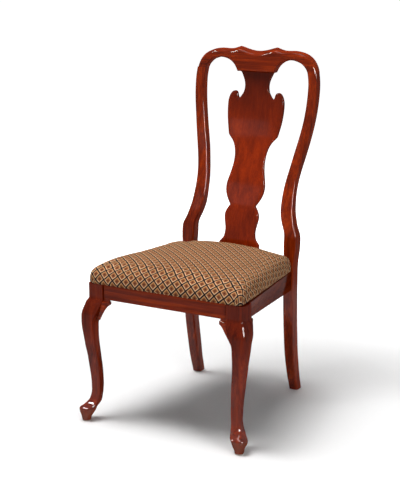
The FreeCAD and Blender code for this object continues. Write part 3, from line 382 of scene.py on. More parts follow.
frontLeg = {
    "toeShift": 0.027, "rim": 0.038, "floor": 0.003, "postCorner": 0.0138, "postEdge": 0.0015,
    "footRows": 16, "legRows": 150,
}
footShares = (
    (0, 0.996, 1.311, 0.48, 0.97, 0.97), (0.257, 0.993, 1.296, 0.56, 0.97, 0.97),
    (0.486, 0.959, 1.27, 0.668, 0.9, 0.9), (0.714, 0.952, 1.185, 0.798, 0.75, 0.85),
    (0.886, 0.911, 1.144, 0.845, 0.62, 0.8), (1, 0.874, 1.141, 0.857, 0.57, 0.79),
)
legShares = (
    (0, 0.874, 1.141, 0.857, 0.57, 0.79), (0.006, 0.848, 1.133, 0.853, 0.55, 0.76),
    (0.018, 0.748, 1.03, 0.798, 0.5, 0.62), (0.03, 0.622, 0.859, 0.736, 0.48, 0.55),
    (0.042, 0.526, 0.7, 0.694, 0.46, 0.47), (0.066, 0.374, 0.511, 0.624, 0.48, 0.45),
    (0.097, 0.278, 0.404, 0.578, 0.5, 0.5), (0.127, 0.215, 0.344, 0.554, 0.5, 0.5),
    (0.187, 0.178, 0.304, 0.566, 0.5, 0.48), (0.247, 0.185, 0.307, 0.581, 0.5, 0.48),
    (0.308, 0.23, 0.344, 0.601, 0.5, 0.47), (0.368, 0.293, 0.396, 0.624, 0.52, 0.43),
    (0.428, 0.374, 0.463, 0.632, 0.56, 0.33), (0.489, 0.459, 0.519, 0.643, 0.58, 0.3),
    (0.549, 0.556, 0.596, 0.671, 0.57, 0.28), (0.609, 0.63, 0.67, 0.69, 0.57, 0.25),
    (0.67, 0.696, 0.726, 0.721, 0.56, 0.22), (0.73, 0.752, 0.767, 0.767, 0.56, 0.18),
    (0.775, 0.774, 0.774, 0.798, 0.56, 0.14), (0.821, 0.722, 0.722, 0.86, 0.52, 0.1),
    (0.851, 0.63, 0.63, 0.946, 0.48, 0.08), (0.881, 0.5, 0.5, 1.027, 0.45, 0.07),
    (0.911, 0.378, 0.378, 1.054, 0.46, 0.06), (0.941, 0.244, 0.244, 1.07, 0.48, 0.06),
    (0.971, 0.13, 0.13, 1.062, 0.5, 0.06), (0.983, 0.07, 0.07, 1.035, 0.52, 0.06),
)


def squareRing(x, y, z, half, outer, other, inner):
    low, high = y - half, y + half
    corners = [(x + half, low, z), (x + half, high, z), (x - half, high, z), (x - half, low, z)]
    return roundedRing(corners, [outer, other, inner, other], 9, 5)


def legTable(shares, bottom, top):  # height, middle x and y, half width, three corner radii
    rows = []
    shift = frontLeg["toeShift"]
    for height, side, front, wide, outer, other in shares:
        half = wide * seat["post"] / 2
        z = bottom + height * (top - bottom)
        radii = (outer * half, other * half, (outer + other) / 2 * half)
        rows.append((z, legX + side * shift, legY - front * shift, half, *radii))
    return rows


def ringsFrom(table, count):
    return [squareRing(x, y, z, *rest) for z, (x, y, *rest) in evened(table, count)]


def buildFrontLeg():
    edge = frontLeg["postEdge"]
    post = (seat["post"] / 2, frontLeg["postCorner"], edge, edge)
    table = legTable(legShares, frontLeg["rim"], railBottom) + [(railBottom, legX, legY, *post)]
    rings = ringsFrom(legTable(footShares, frontLeg["floor"], frontLeg["rim"]), frontLeg["footRows"])
    rings += ringsFrom(table, frontLeg["legRows"])[1:]
    ring = squareRing(legX, legY, railBottom, *post)
    for share in (0.25, 0.5, 0.75, 1.0):
        rings.append([Vector((p.x, p.y, p.z + share * (seatPlaneZ(p.y) - railBottom))) for p in ring])
    return tidyMesh(skinRings(rings))


placePair("frontLeg", buildFrontLeg(), woodLeg, "front_leg", 50)
print("front legs built")

# knee returns: distance from the post as a share of the length, depth under the rail as a share of
# the rail depth, how far the face stands out at its top and bottom as shares of the thickness

kneeReturn = {"length": 0.020, "gap": 0.0055, "thick": 0.014, "edge": 0.002, "rows": 40}
returnShares = (
    (-0.86, 1.5, 0.15, 0.45), (-0.57, 1.22, 0.21, 0.6), (-0.29, 0.98, 0.24, 0.68), (0, 0.77, 0.24, 0.66),
    (0.21, 0.64, 0.22, 0.55), (0.43, 0.53, 0.18, 0.42), (0.71, 0.425, 0.13, 0.26), (1, 0.345, 0.09, 0.13),
)


def buildReturn():
    face, thick = seat["frontY"] + seat["setback"], kneeReturn["thick"]
    back, top = face + thick, railBottom - kneeReturn["gap"]
    rings = []
    for share, (deep, outTop, outLow) in evened(returnShares, kneeReturn["rows"]):
        x = postInX - share * kneeReturn["length"]
        low = railBottom - deep * seat["railDepth"]
        frontTop, frontLow = face - outTop * thick, face - outLow * thick
        corners = [(x, frontTop, top), (x, back, top), (x, back, low), (x, frontLow, low)]
        rings.append(roundedRing(corners, [kneeReturn["edge"]] * 4, 4, 4))
    return tidyMesh(skinRings(rings))


def buildNeck():  # short block between the return and the rail
    edge, face = kneeReturn["edge"], seat["frontY"] + seat["setback"]
    inner = postInX - kneeReturn["length"] + edge
    back, top = face + kneeReturn["thick"] - edge, railBottom - kneeReturn["gap"] - 2 * edge
    ring = [(inner, face + edge), (postInX, face + edge), (postInX, back), (inner, back)]
    return skinRings([[(x, y, z) for x, y in ring] for z in (top, railBottom)])


def joined(meshes):
    work = bmesh.new()
    for mesh in meshes:
        work.from_mesh(mesh)
    bmesh.ops.recalc_face_normals(work, faces=work.faces)
    made = newMesh([], [])
    work.to_mesh(made)
    work.free()
    return made


frontReturn = joined([buildReturn(), buildNeck()])
# the side return is the front one turned over the post's diagonal, then turned with the rail
overDiagonal = Matrix(((0, -1, 0, legX + legY), (-1, 0, 0, legX + legY), (0, 0, 1, 0), (0, 0, 0, 1)))
pivot = Vector((seat["frontHalf"] - seat["setback"], postInY, 0))
railTurn = Matrix.Rotation(math.atan(sideSlope), 4, "Z")
withRail = Matrix.Translation(pivot) @ railTurn @ Matrix.Translation(-pivot)
sideReturn = frontReturn.copy()
sideReturn.transform(withRail @ overDiagonal)
tidyMesh(sideReturn)
placePair("kneeReturnFront", frontReturn, woodAcross, "knee_return_front")
placePair("kneeReturnSide", sideReturn, woodBackPaintedShade, "knee_return_side")
print("knee returns built")

# back posts: height share, outer and inner face as shares of the half width, how far the rear leg's
# front face lies back as a share of its splay, depth; the spine's rows say height and lean

backPost = {
    "floor": 0.003, "knuckle": 0.51, "shoulder": 0.985, "shoulderHalf": 0.2058, "splay": 0.065,
    "legDepth": 0.035, "postDepth": 0.029, "round": 0.005, "lean": 0.118, "top": 1.055, "rows": 190,
}
rearLegShares = (
    (0, 0.988, 0.84, 0.985, 0.943), (0.034, 0.988, 0.836, 0.892, 0.957),
    (0.073, 0.989, 0.832, 0.777, 0.971), (0.112, 0.99, 0.829, 0.677, 0.986),
    (0.191, 0.992, 0.823, 0.515, 1), (0.27, 0.994, 0.821, 0.377, 1.006), (0.349, 1, 0.824, 0.262, 1.014),
    (0.428, 1.004, 0.826, 0.169, 1.023), (0.507, 1.008, 0.828, 0.092, 1.029),
    (0.586, 1.011, 0.829, 0.034, 1.029), (0.655, 1.013, 0.829, 0, 1.029), (0.734, 1.013, 0.829, 0, 1.017),
    (0.809, 1.014, 0.827, 0, 1), (0.852, 1.021, 0.821, 0.005, 1), (0.901, 1.034, 0.815, 0.023, 1),
    (0.951, 1.038, 0.81, 0.046, 1),
)
postShares = (
    (0, 0.939, 0.741, 1.207), (0.032, 0.906, 0.719, 1.19), (0.063, 0.879, 0.688, 1.16),
    (0.095, 0.859, 0.663, 1.12), (0.126, 0.841, 0.645, 1.08), (0.168, 0.827, 0.635, 1.04),
    (0.211, 0.818, 0.633, 1), (0.253, 0.813, 0.636, 1), (0.295, 0.814, 0.643, 1), (0.337, 0.821, 0.656, 1),
    (0.379, 0.834, 0.672, 1), (0.421, 0.851, 0.69, 1), (0.463, 0.87, 0.707, 1), (0.547, 0.909, 0.747, 1),
    (0.632, 0.944, 0.788, 1), (0.716, 0.972, 0.82, 1), (0.8, 0.992, 0.842, 1), (0.884, 1, 0.852, 1),
    (0.947, 0.994, 0.848, 1), (1, 0.977, 0.828, 1),
)
spineShares = (
    (0, 0.165), (0.037, 0.2), (0.11, 0.29), (0.183, 0.39), (0.257, 0.498), (0.33, 0.606), (0.404, 0.705),
    (0.477, 0.784), (0.55, 0.851), (0.624, 0.904), (0.697, 0.938), (0.77, 0.968), (0.844, 0.99), (0.9, 1),
    (1, 1.01),
)


def spineY(height):  # middle line of the back, seen from the side
    share = (height - backPost["knuckle"]) / (backPost["top"] - backPost["knuckle"])
    return rearY + backPost["lean"] * tableRows(spineShares, [share])[0, 0]


def buildBackPost():
    table = []
    half, low, knuckle = seat["rearHalf"], backPost["floor"], backPost["knuckle"]
    for height, outer, inner, front, depth in rearLegShares:
        z = low + height * (knuckle - low)
        y = rearY + front * backPost["splay"]
        table.append((z, outer * half, inner * half, y, depth * backPost["legDepth"]))
    half, thick = backPost["shoulderHalf"], backPost["postDepth"]
    for height, outer, inner, depth in postShares:
        z = knuckle + height * (backPost["shoulder"] - knuckle)
        table.append((z, outer * half, inner * half, spineY(z) - thick / 2, depth * thick))
    rings = []
    for z, (outer, inner, front, depth) in evened(table, backPost["rows"]):
        back = front + depth
        corners = [(outer, front, z), (outer, back, z), (inner, back, z), (inner, front, z)]
        rings.append(roundedRing(corners, [backPost["round"]] * 4, 5, 4))
    return tidyMesh(skinRings(rings))


placePair("backPost", buildBackPost(), woodUp, "back_post")
print("back posts built")

# crest rail: inner and outer point as shares of the shoulder's half width and of the rise above it,
# and how far the front edge falls; the horn's rows say the dip between the two small points

crest = {"drop": 0.0105, "round": 0.0115, "edge": 0.003, "small": 0.005, "armRows": 90, "middleRows": 60}
crestShares = (
    (0.828, 0, 0.977, 0, 0), (0.807, 0.121, 0.96, 0.186, 0.1), (0.773, 0.243, 0.928, 0.386, 0.19),
    (0.729, 0.35, 0.875, 0.586, 0.29), (0.68, 0.414, 0.792, 0.75, 0.38),
    (0.622, 0.464, 0.695, 0.843, 0.48), (0.559, 0.479, 0.583, 0.879, 0.52),
    (0.496, 0.45, 0.5, 0.871, 0.57), (0.437, 0.386, 0.437, 0.877, 0.67),
    (0.384, 0.279, 0.389, 0.907, 0.76), (0.335, 0.114, 0.34, 0.954, 0.86), (0.299, -0.09, 0.299, 1, 1),
)
hornShares = ((1.0, 1.0), (0.82, 0.964), (0.6, 0.907), (0.33, 0.85), (0.0, 0.821))
crestRise = backPost["top"] - backPost["shoulder"]


def crestRing(innerX, innerZ, outerX, outerZ, drop):
    half = backPost["postDepth"] / 2
    inner, outer = Vector((innerX, 0, innerZ)), Vector((outerX, 0, outerZ))
    frontTop = outer + (inner - outer).normalized() * drop
    lowY, highY = spineY(innerZ), spineY(outerZ)
    corners = [
        (innerX, lowY - half, innerZ), (frontTop.x, highY - half, frontTop.z),
        (outerX, highY + half, outerZ), (innerX, lowY + half, innerZ),
    ]
    return roundedRing(corners, [crest["small"], crest["round"], crest["edge"], crest["small"]], 6, 7)


def buildCrest():
    wide, base, drop = backPost["shoulderHalf"], backPost["shoulder"], crest["drop"]
    rows = [
        (a * wide, base + b * crestRise, c * wide, base + d * crestRise, e * drop)
        for a, b, c, d, e in crestShares
    ]
    steps = stepsAlong([row[:4] for row in rows])
    arm = [crestRing(*row) for row in splineRows(steps, rows, np.linspace(0, steps[-1], crest["armRows"]))]
    horn, low = rows[-1][2], rows[-1][1]
    tops = [(share * horn, base + top * crestRise) for share, top in hornShares]
    tops += [(-x, z) for x, z in tops[-2::-1]]
    xs = np.linspace(-horn, horn, crest["middleRows"])
    middle = [crestRing(x, low, x, z, drop) for x, z in zip(xs, tableRows(tops[::-1], xs)[:, 0])]
    left = [[Vector((-p.x, p.y, p.z)) for p in ring] for ring in arm]
    return tidyMesh(skinRings(left + middle[1:-1] + arm[::-1]))


place("crestRail", buildCrest(), woodAcross, ["crest_rail"], 30)
print("crest rail built")

# splat: half width as a share of the widest half, height as a share from the shoe to the crest

splat = {
    "half": 0.0942, "thick": 0.012, "round": 0.0022, "roundSteps": 4, "pointGap": 0.0022, "gridGap": 0.007,
    "shoeHigh": 0.026,
}
splatShares = (
    ((0.714, 0), (0.714, 0.0246)),
    ((0.714, 0.0246), (0.651, 0.0378), (0.569, 0.0567), (0.544, 0.0757), (0.535, 0.0946), (0.542, 0.1135),
     (0.563, 0.1324), (0.586, 0.1513), (0.602, 0.1702), (0.6, 0.1891), (0.567, 0.2081), (0.506, 0.227),
     (0.451, 0.2413)),
    ((0.451, 0.2413), (0.534, 0.2648), (0.596, 0.2837), (0.642, 0.3026), (0.67, 0.3215), (0.68, 0.3405),
     (0.678, 0.3594), (0.658, 0.3783), (0.632, 0.3972), (0.582, 0.435), (0.549, 0.4729), (0.542, 0.5012),
     (0.552, 0.5296), (0.572, 0.5485), (0.602, 0.5674), (0.649, 0.5863), (0.719, 0.6053), (0.818, 0.6242),
     (0.87, 0.6355)),
    ((0.87, 0.6355), (0.902, 0.662), (0.946, 0.6998), (0.979, 0.7377), (0.996, 0.7755), (1, 0.7982),
     (0.99, 0.8322), (0.963, 0.8511), (0.911, 0.8701), (0.849, 0.8814), (0.775, 0.8852), (0.717, 0.8814),
     (0.675, 0.8682), (0.658, 0.8549), (0.624, 0.8426)),
    ((0.624, 0.8426), (0.573, 0.8502), (0.52, 0.8625), (0.467, 0.8776), (0.43, 0.8984), (0.421, 0.9173),
     (0.444, 0.9457), (0.484, 0.9646), (0.533, 0.9835), (0.582, 1)),
)
splatFaceShares = (
    (0, 0.059), (0.047, 0.09), (0.095, 0.129), (0.132, 0.16), (0.189, 0.207), (0.265, 0.288),
    (0.322, 0.361), (0.378, 0.432), (0.454, 0.541), (0.53, 0.653), (0.605, 0.747), (0.681, 0.825),
    (0.757, 0.886), (0.832, 0.931), (0.908, 0.966), (1, 0.995),
)
shoeTop = seat["railTop"] + seat["backRailRise"] + splat["shoeHigh"]
crestLow = backPost["shoulder"] + crestShares[-1][1] * crestRise
splatRise = crestLow - shoeTop


def splatOutline():  # flat outline in x and z, right side up and left side down
    right = []
    for run in splatShares:
        points = [(a * splat["half"], shoeTop + b * splatRise) for a, b in run]
        steps = stepsAlong(points)
        count = max(3, round(steps[-1] / splat["pointGap"]))
        curve = splineRows(steps, points, np.linspace(0, steps[-1], count))
        right += [tuple(p) for p in curve][1 if right else 0:]
    return [Vector(p) for p in right + [(-x, z) for x, z in right[::-1]]]


def splatFaceY(z):
    share = min(max((z - shoeTop) / splatRise, 0), 1)
    return rearY + backPost["lean"] * tableRows(splatFaceShares, [share])[0, 0]


def filled(rim, inside):  # triangles over a closed flat outline, with more points inside it
    edges = [(i, (i + 1) % len(rim)) for i in range(len(rim))]
    flat, _, cells, _, _, _ = delaunay_2d_cdt(rim + inside, edges, [], 1, 0.00001)
    return flat, [tuple(cell) for cell in cells]


def rowPoints(rim, gap):  # points in rows inside the splat's outline
    inside = []
    for row in range(1, int(splatRise / gap)):
        z = shoeTop + row * gap
        crossings = []
        for a, b in zip(rim, rim[1:] + rim[:1]):
            if (a.y <= z) != (b.y <= z):
                crossings.append(a.x + (z - a.y) * (b.x - a.x) / (b.y - a.y))
        crossings.sort()
        for first, last in zip(crossings[::2], crossings[1::2]):
            n = int((last - first) / gap)
            inside += [Vector((first + (last - first) * k / (n + 1), z)) for k in range(1, n + 1)]
    return inside


def buildSplat():
    outline = splatOutline()
    count = len(outline)
    inward = []
    for i in range(count):
        along = outline[(i + 1) % count] - outline[i - 1]
        inward.append(Vector((-along.y, along.x)).normalized())
    thick, edge = splat["thick"], splat["round"]
    layers = quarterRound(edge, splat["roundSteps"])
    layers += [(inset, thick - deep) for inset, deep in layers[::-1]]
    points = []
    for inset, deep in layers:
        spots = [here + way * inset for here, way in zip(outline, inward)]
        points += [(spot.x, splatFaceY(spot.y) + deep, spot.y) for spot in spots]
    faces = bandFaces(len(layers), count)
    rim = [here + way * edge for here, way in zip(outline, inward)]
    flat, cells = filled(rim, rowPoints(rim, splat["gridGap"]))
    for deep in (0, thick):
        start = len(points)
        points += [(p.x, splatFaceY(p.y) + deep, p.y) for p in flat]
        faces += [tuple(start + i for i in cell) for cell in cells]
    return tidyMesh(newMesh(points, faces), 0.00004)


place("splat", buildSplat(), woodSplat, ["splat"], 34)
print("splat built")

# rails and shoe: planed pieces with softened edges

rail = {"edge": 0.0012, "recess": 0.002, "gap": 0.002, "backShare": 0.87}
shoe = {"half": 0.076, "thick": 0.024, "high": splat["shoeHigh"], "cove": 0.003, "edge": 0.0015}


def bevelled(mesh, edge, segments):
    work = bmesh.new()
    work.from_mesh(mesh)
    bmesh.ops.recalc_face_normals(work, faces=work.faces)
    bmesh.ops.bevel(work, geom=work.edges[:], offset=edge, segments=segments, affect="EDGES", profile=0.5)
    work.to_mesh(mesh)
    work.free()
    return mesh


def planed(corners):  # eight corners: four of the bottom, then four of the top
    faces = [(0, 1, 2, 3), (4, 5, 6, 7), (0, 1, 5, 4), (1, 2, 6, 5), (2, 3, 7, 6), (3, 0, 4, 7)]
    return bevelled(newMesh(corners, faces), rail["edge"], 3)


def acrossRail(half, face, low, frontTop, backTop):
    back = face + seat["railThick"]
    flat = [(-half, face), (half, face), (half, back), (-half, back)]
    tops = (frontTop, frontTop, backTop, backTop)
    return planed([(x, y, low) for x, y in flat] + [(x, y, z) for (x, y), z in zip(flat, tops)])


railFace = seat["frontY"] + seat["setback"] + rail["recess"]
slope = (seatPlaneZ(railFace), seatPlaneZ(railFace + seat["railThick"]))
frontRail = acrossRail(postInX - rail["gap"], railFace, railBottom, *slope)
place("frontRail", frontRail, woodAcross, ["front_rail"])

backFace = rearY + seat["backRailSetback"]
backTop = seat["railTop"] + seat["backRailRise"]
backHalf = seat["rearHalf"] * rail["backShare"]
backRail = acrossRail(backHalf, backFace, backTop - seat["backRailDepth"], backTop, backTop)
place("backRail", backRail, woodAcross, ["back_rail"])

wideRail = seat["railThick"] / math.cos(math.atan(sideSlope))
nearY = postInY + rail["gap"]
corners = []
for level in ("bottom", "top"):
    for y, offset in ((nearY, 0), (rearY, 0), (rearY, wideRail), (nearY, wideRail)):
        x = seat["frontHalf"] - seat["setback"] - rail["recess"] - (y - postInY) * sideSlope - offset
        low = railBottom - seat["sideBottomDrop"] * (y - postInY) / (rearY - postInY)
        corners.append((x, y, low if level == "bottom" else seatPlaneZ(y)))
placePair("sideRail", planed(corners), woodBackPaintedShade, "side_rail")

shoeY = backFace - shoe["cove"]
profile = [
    (0, 0), (shoe["thick"], 0), (shoe["thick"], shoe["high"] / 2),
    (shoe["thick"] - shoe["cove"], shoe["high"]), (shoe["cove"], shoe["high"]), (0, shoe["high"] / 2),
]
ends = [[(x, shoeY + y, backTop + z) for y, z in profile] for x in (-shoe["half"], shoe["half"])]
shoeMesh = bevelled(tidyMesh(skinRings(ends)), shoe["edge"], 2)
place("splatShoe", shoeMesh, woodAcross, ["splat_shoe"])
print("rails and shoe built")

# seat cushion: place from the front as a share of the depth, how far the sides are drawn in as a
# share of the shoulder, then height, upright side and shoulder width as shares of the fullest

pad = {
    "depth": 0.454, "sideOver": 0.0005, "crown": 0.073, "side": 0.025, "bulge": 0.003, "shoulder": 0.022,
    "crownStart": 0.7, "sideRound": 0.23, "rows": 130, "columns": 81, "capRows": 8,
    "voxel": 0.005, "soften": 2, "edgeInset": 0.022, "edgeBend": 1.5, "weaveStart": 0.2,
    "tuck": 0.003, "tuckHigh": 0.007, "tuckDeep": 0.035,
}
swell = {
    "pressure": 3.0, "stretch": 40, "bend": 8, "quality": 6, "frames": 20, "cap": 0.0025, "heldHigh": 0.004,
}
padShares = (
    (0, 0.73, 0.356, 0.8, 0.35), (0.007, 0.36, 0.493, 0.9, 0.6), (0.018, 0.14, 0.603, 0.96, 0.8),
    (0.04, 0, 0.712, 1, 0.95), (0.133, 0, 0.91, 1, 1), (0.44, 0, 1.03, 1, 1), (0.73, 0, 1.06, 1, 1),
    (0.93, 0, 0.94, 1, 1), (0.97, 0.1, 0.73, 1, 0.9), (0.99, 0.33, 0.53, 0.95, 0.6),
    (1, 0.64, 0.4, 0.85, 0.4),
)


def padHalf(share, over=0.0):  # half width of the seat at a share of its depth
    front, rear = seat["frontHalf"] + over, seat["rearHalf"] + over
    return front - (front - rear) * share


def arcPoints(first, middle, last, count):  # points on the circle through three points
    (ax, ay), (bx, by), (cx, cy) = first, middle, last
    d = 2 * (ax * (by - cy) + bx * (cy - ay) + cx * (ay - by))
    sa, sb, sc = ax * ax + ay * ay, bx * bx + by * by, cx * cx + cy * cy
    ux = (sa * (by - cy) + sb * (cy - ay) + sc * (ay - by)) / d
    uy = (sa * (cx - bx) + sb * (ax - cx) + sc * (bx - ax)) / d
    radius = math.hypot(ax - ux, ay - uy)
    start = math.atan2(ay - uy, ax - ux)
    way = 1 if (bx - ax) * (cy - ay) - (by - ay) * (cx - ax) > 0 else -1
    sweep = way * (math.atan2(cy - uy, cx - ux) - start) % (2 * math.pi)
    angles = start + way * np.linspace(0, sweep, count)
    return np.stack([ux + radius * np.cos(angles), uy + radius * np.sin(angles)], 1)


def padCurve(row):  # half section from the foot over the shoulder to the middle, then evened out
    spot, drawn, high, side, shoulder = row
    half = padHalf(spot, pad["sideOver"]) - drawn * pad["shoulder"]
    top, upright = high * pad["crown"], side * pad["side"]
    foot = (half - pad["bulge"], 0)
    ledge = np.array([half - pad["bulge"] / 2, upright])
    crown = np.array([half - shoulder * pad["shoulder"], upright + pad["crownStart"] * (top - upright)])
    chord = crown - ledge
    turn = ledge + chord / 2 + np.array([chord[1], -chord[0]]) * pad["sideRound"]
    over = arcPoints(crown, (0, top), (-crown[0], crown[1]), 161)[:81]
    bend = arcPoints(ledge, turn, crown, 16)
    curve = np.vstack([arcPoints(foot, (half, upright / 2), ledge, 12), bend[1:], over[1:]])
    whole = np.vstack([curve, curve[-2::-1] * (-1, 1)])
    steps = np.concatenate([[0], np.cumsum(np.linalg.norm(np.diff(whole, axis=0), axis=1))])
    at = np.linspace(0, steps[-1], pad["columns"])
    return np.stack([np.interp(at, steps, whole[:, i]) for i in (0, 1)], 1)


def padGrid():  # rows of points from the front edge over the crown to the back edge
    curves = np.stack([padCurve(row) for row in padShares])
    ys = np.array([row[0] for row in padShares]) * pad["depth"]
    moves = np.hypot(np.diff(ys), np.diff(curves[:, pad["columns"] // 2, 1]))
    steps = np.concatenate([[0], np.cumsum(np.sqrt(moves))])
    at = np.linspace(0, steps[-1], pad["rows"])
    flat = splineRows(steps, curves.reshape(len(ys), -1), at).reshape(len(at), -1, 2)
    grid = np.zeros((len(at), pad["columns"], 3))
    grid[..., 0], grid[..., 1], grid[..., 2] = flat[..., 0], splineRows(steps, ys, at), flat[..., 1]
    falls = np.linspace(0, 1, pad["capRows"])[1:]
    frontCap = [grid[0] * (1, 1, 1 - fall) for fall in falls[::-1]]
    backCap = [grid[-1] * (1, 1, 1 - fall) for fall in falls]
    return np.concatenate([np.array(frontCap), grid, np.array(backCap)])


def closedPad(grid):
    rows, columns = grid.shape[:2]
    starts = [r * columns + c for r in range(rows - 1) for c in range(columns - 1)]
    faces = [(a, a + 1, a + columns + 1, a + columns) for a in starts]
    last = (rows - 1) * columns
    rim = list(range(columns)) + [r * columns + columns - 1 for r in range(1, rows)]
    rim += [last + c for c in range(columns - 2, -1, -1)] + [r * columns for r in range(rows - 2, 0, -1)]
    faces.append(tuple(rim[::-1]))
    return tidyMesh(newMesh(grid.reshape(-1, 3), faces), 0.00001)


def bakedMesh(piece):  # what the modifiers make of a piece, as a plain mesh, and the piece goes
    graph = bpy.context.evaluated_depsgraph_get()
    mesh = bpy.data.meshes.new_from_object(piece.evaluated_get(graph), depsgraph=graph)
    bpy.data.objects.remove(piece)
    return mesh


def swollen(mesh):  # stuffing pushes the tight cloth out a little, and the tacked edge holds
    piece = linked("padSim", mesh)
    rest = np.array([v.co for v in mesh.vertices])
    held = piece.vertex_groups.new(name="held")
    held.add([i for i, p in enumerate(rest) if p[2] < swell["heldHigh"]], 1.0, "REPLACE")
    cloth = piece.modifiers.new("cloth", "CLOTH")
    settings = cloth.settings
    settings.use_pressure = True
    settings.uniform_pressure_force = swell["pressure"]
    settings.effector_weights.gravity = 0
    settings.vertex_group_mass = "held"
    settings.tension_stiffness = settings.compression_stiffness = swell["stretch"]
    settings.bending_stiffness = swell["bend"]
    settings.quality = swell["quality"]
    cloth.collision_settings.use_collision = False
    for step in range(1, swell["frames"] + 1):
        scene.frame_set(step)
    after = bakedMesh(piece)
    moved = np.array([v.co for v in after.vertices]) - rest
    far = np.linalg.norm(moved, axis=1)
    moved *= np.minimum(1, swell["cap"] / np.maximum(far, 1e-9))[:, None]
    mesh.vertices.foreach_set("co", (rest + moved).ravel())
    bpy.data.meshes.remove(after)
    scene.frame_set(1)


def remeshed(mesh):
    piece = linked("padRemesh", mesh)
    remesh = piece.modifiers.new("remesh", "REMESH")
    remesh.mode = "VOXEL"
    remesh.voxel_size = pad["voxel"]
    soften = piece.modifiers.new("soften", "SMOOTH")
    soften.factor = 0.5
    soften.iterations = pad["soften"]
    return bakedMesh(piece)


def layCloth(mesh):  # the weave's map: flat on the crown, then straight out and down over every edge
    corners = [vertex.co.copy() for vertex in mesh.vertices]
    tree = BVHTree.FromPolygons(corners, [face.vertices for face in mesh.polygons])
    inset, bend = pad["edgeInset"], pad["edgeBend"]
    spots = []
    for x, y, z in corners:
        flatY = min(max(y, inset), pad["depth"] - inset)
        half = padHalf(flatY / pad["depth"]) - inset
        flatX = min(max(x, -half), half)
        crown = tree.ray_cast((flatX, flatY, 1), (0, 0, -1))[0]
        out = math.hypot(x - flatX, y - flatY)
        run = (out ** bend + max(crown.z - z, 0) ** bend) ** (1 / bend)
        stretch = run / max(out, 0.00001)
        spots.append((flatX + (x - flatX) * stretch, flatY + (y - flatY) * stretch - pad["weaveStart"]))
    layer = mesh.uv_layers.new(name="cloth")
    loops = np.zeros(len(mesh.loops), np.int32)
    mesh.loops.foreach_get("vertex_index", loops)
    layer.data.foreach_set("uv", np.array(spots)[loops].ravel())


def tuckEdge(mesh):  # the cloth turns in where it goes under the board
    for vertex in mesh.vertices:
        share = min(max(1 - vertex.co.z / pad["tuckHigh"], 0), 1) ** 2
        vertex.co.x -= math.copysign(share * pad["tuck"], vertex.co.x)
        if vertex.co.y < pad["tuckDeep"]:
            vertex.co.y += share * pad["tuck"]


fabricLook = {  # the bands run from the heart of a diamond out to its dark line
    "line": (0.024, 0.019, 0.022), "ground": (0.30, 0.110, 0.036), "cream": (0.80, 0.50, 0.27),
    "gold": (0.60, 0.30, 0.12), "rust": (0.22, 0.072, 0.034), "heart": (0.060, 0.020, 0.016),
    "repeat": 0.0293, "wobble": 0.035, "thread": 0.0009, "roughness": 0.9, "gloss": 0.02,
    "bands": {
        "rust": (0.05, 0.10), "ground": (0.185, 0.215), "outline": (0.275, 0.305), "line": (0.380, 0.410),
    },
}


def latticeFabric(look):
    g = Graph("latticeFabric")
    uv = g.add("ShaderNodeUVMap", {"uv_map": "cloth"})
    u = g.add("ShaderNodeSeparateXYZ", None, {"Vector": uv})
    v = u.output(1)
    wobble = (g.noise(uv, 420, 1) - 0.5) * look["wobble"]
    across = ((u + v) / look["repeat"] + wobble).fract() - 0.5
    down = ((u - v) / look["repeat"] + wobble).fract() - 0.5
    ring = across.size().largest(down.size())  # 0 in the heart of a diamond, 0.5 on the dark line
    low = (across - down).step(-0.35, 0.35)  # 0 at the lower sides of a diamond, 1 at the upper
    colours = dict(look, outline=g.mix(low, look["cream"], look["gold"]))
    body = look["heart"]
    for band, edges in look["bands"].items():
        body = g.mix(ring.step(*edges), body, colours[band])
    turns = 2 * math.pi / look["thread"]
    weave = ((u * turns).sine() * 0.5 + 0.5) * ((v * turns).sine() * 0.5 + 0.5)
    shade = weave * 0.22 + g.noise(uv, 1400, 2) * 0.35 + g.noise(uv, 14, 2) * 0.3 + 0.52
    grey = g.add("ShaderNodeCombineColor", None, {0: shade, 1: shade, 2: shade})
    raised = (0.5 - ring) * 0.3 + weave * 0.6
    return g.surface({
        "Base Color": g.mix(1.0, body, grey, "MULTIPLY"), "Roughness": look["roughness"],
        "Specular IOR Level": look["gloss"], "Normal": g.bump(0.35, 0.0004, raised),
    })


padMesh = remeshed(closedPad(padGrid()))
swollen(padMesh)
layCloth(padMesh)
tuckEdge(padMesh)
padMesh.transform(seatPlace)
fabric = latticeFabric(fabricLook)
cushion = place("seatCushion", padMesh, fabric, ["seat_cover", "seat_foam"], 75)
print("seat cushion built:", len(padMesh.polygons), "faces")

# dust cover: thin black cloth stretched under the seat, sagging a little between its tacks

dustLook = {
    "sag": 0.0025, "sagReach": 0.12, "gap": 0.012, "fall": 0.0012, "margin": 0.001,
    "colour": (0.012, 0.012, 0.014), "lint": (0.035, 0.035, 0.04), "roughness": 0.9,
}


def dustOutline():  # corners in plan, clear of the rails and of the front posts
    margin = dustLook["margin"]
    near = seat["frontY"] + seat["setback"] + seat["railThick"] + margin
    notch = postInY + margin
    far = seat["frontY"] - seat["padFront"] + pad["depth"] - 4 * margin
    side = seat["frontHalf"] - seat["setback"]
    right = [(postInX - margin, near), (postInX - margin, notch)]
    right += [(side - (y - postInY) * sideSlope - wideRail - margin, y) for y in (notch, far)]
    return [Vector(p) for p in right + [(-x, y) for x, y in right[::-1]]]


def insidePolygon(x, y, corners):
    inside = False
    for i, a in enumerate(corners):
        b = corners[i - 1]
        if (a.y > y) != (b.y > y) and x < (b.x - a.x) * (y - a.y) / (b.y - a.y) + a.x:
            inside = not inside
    return inside


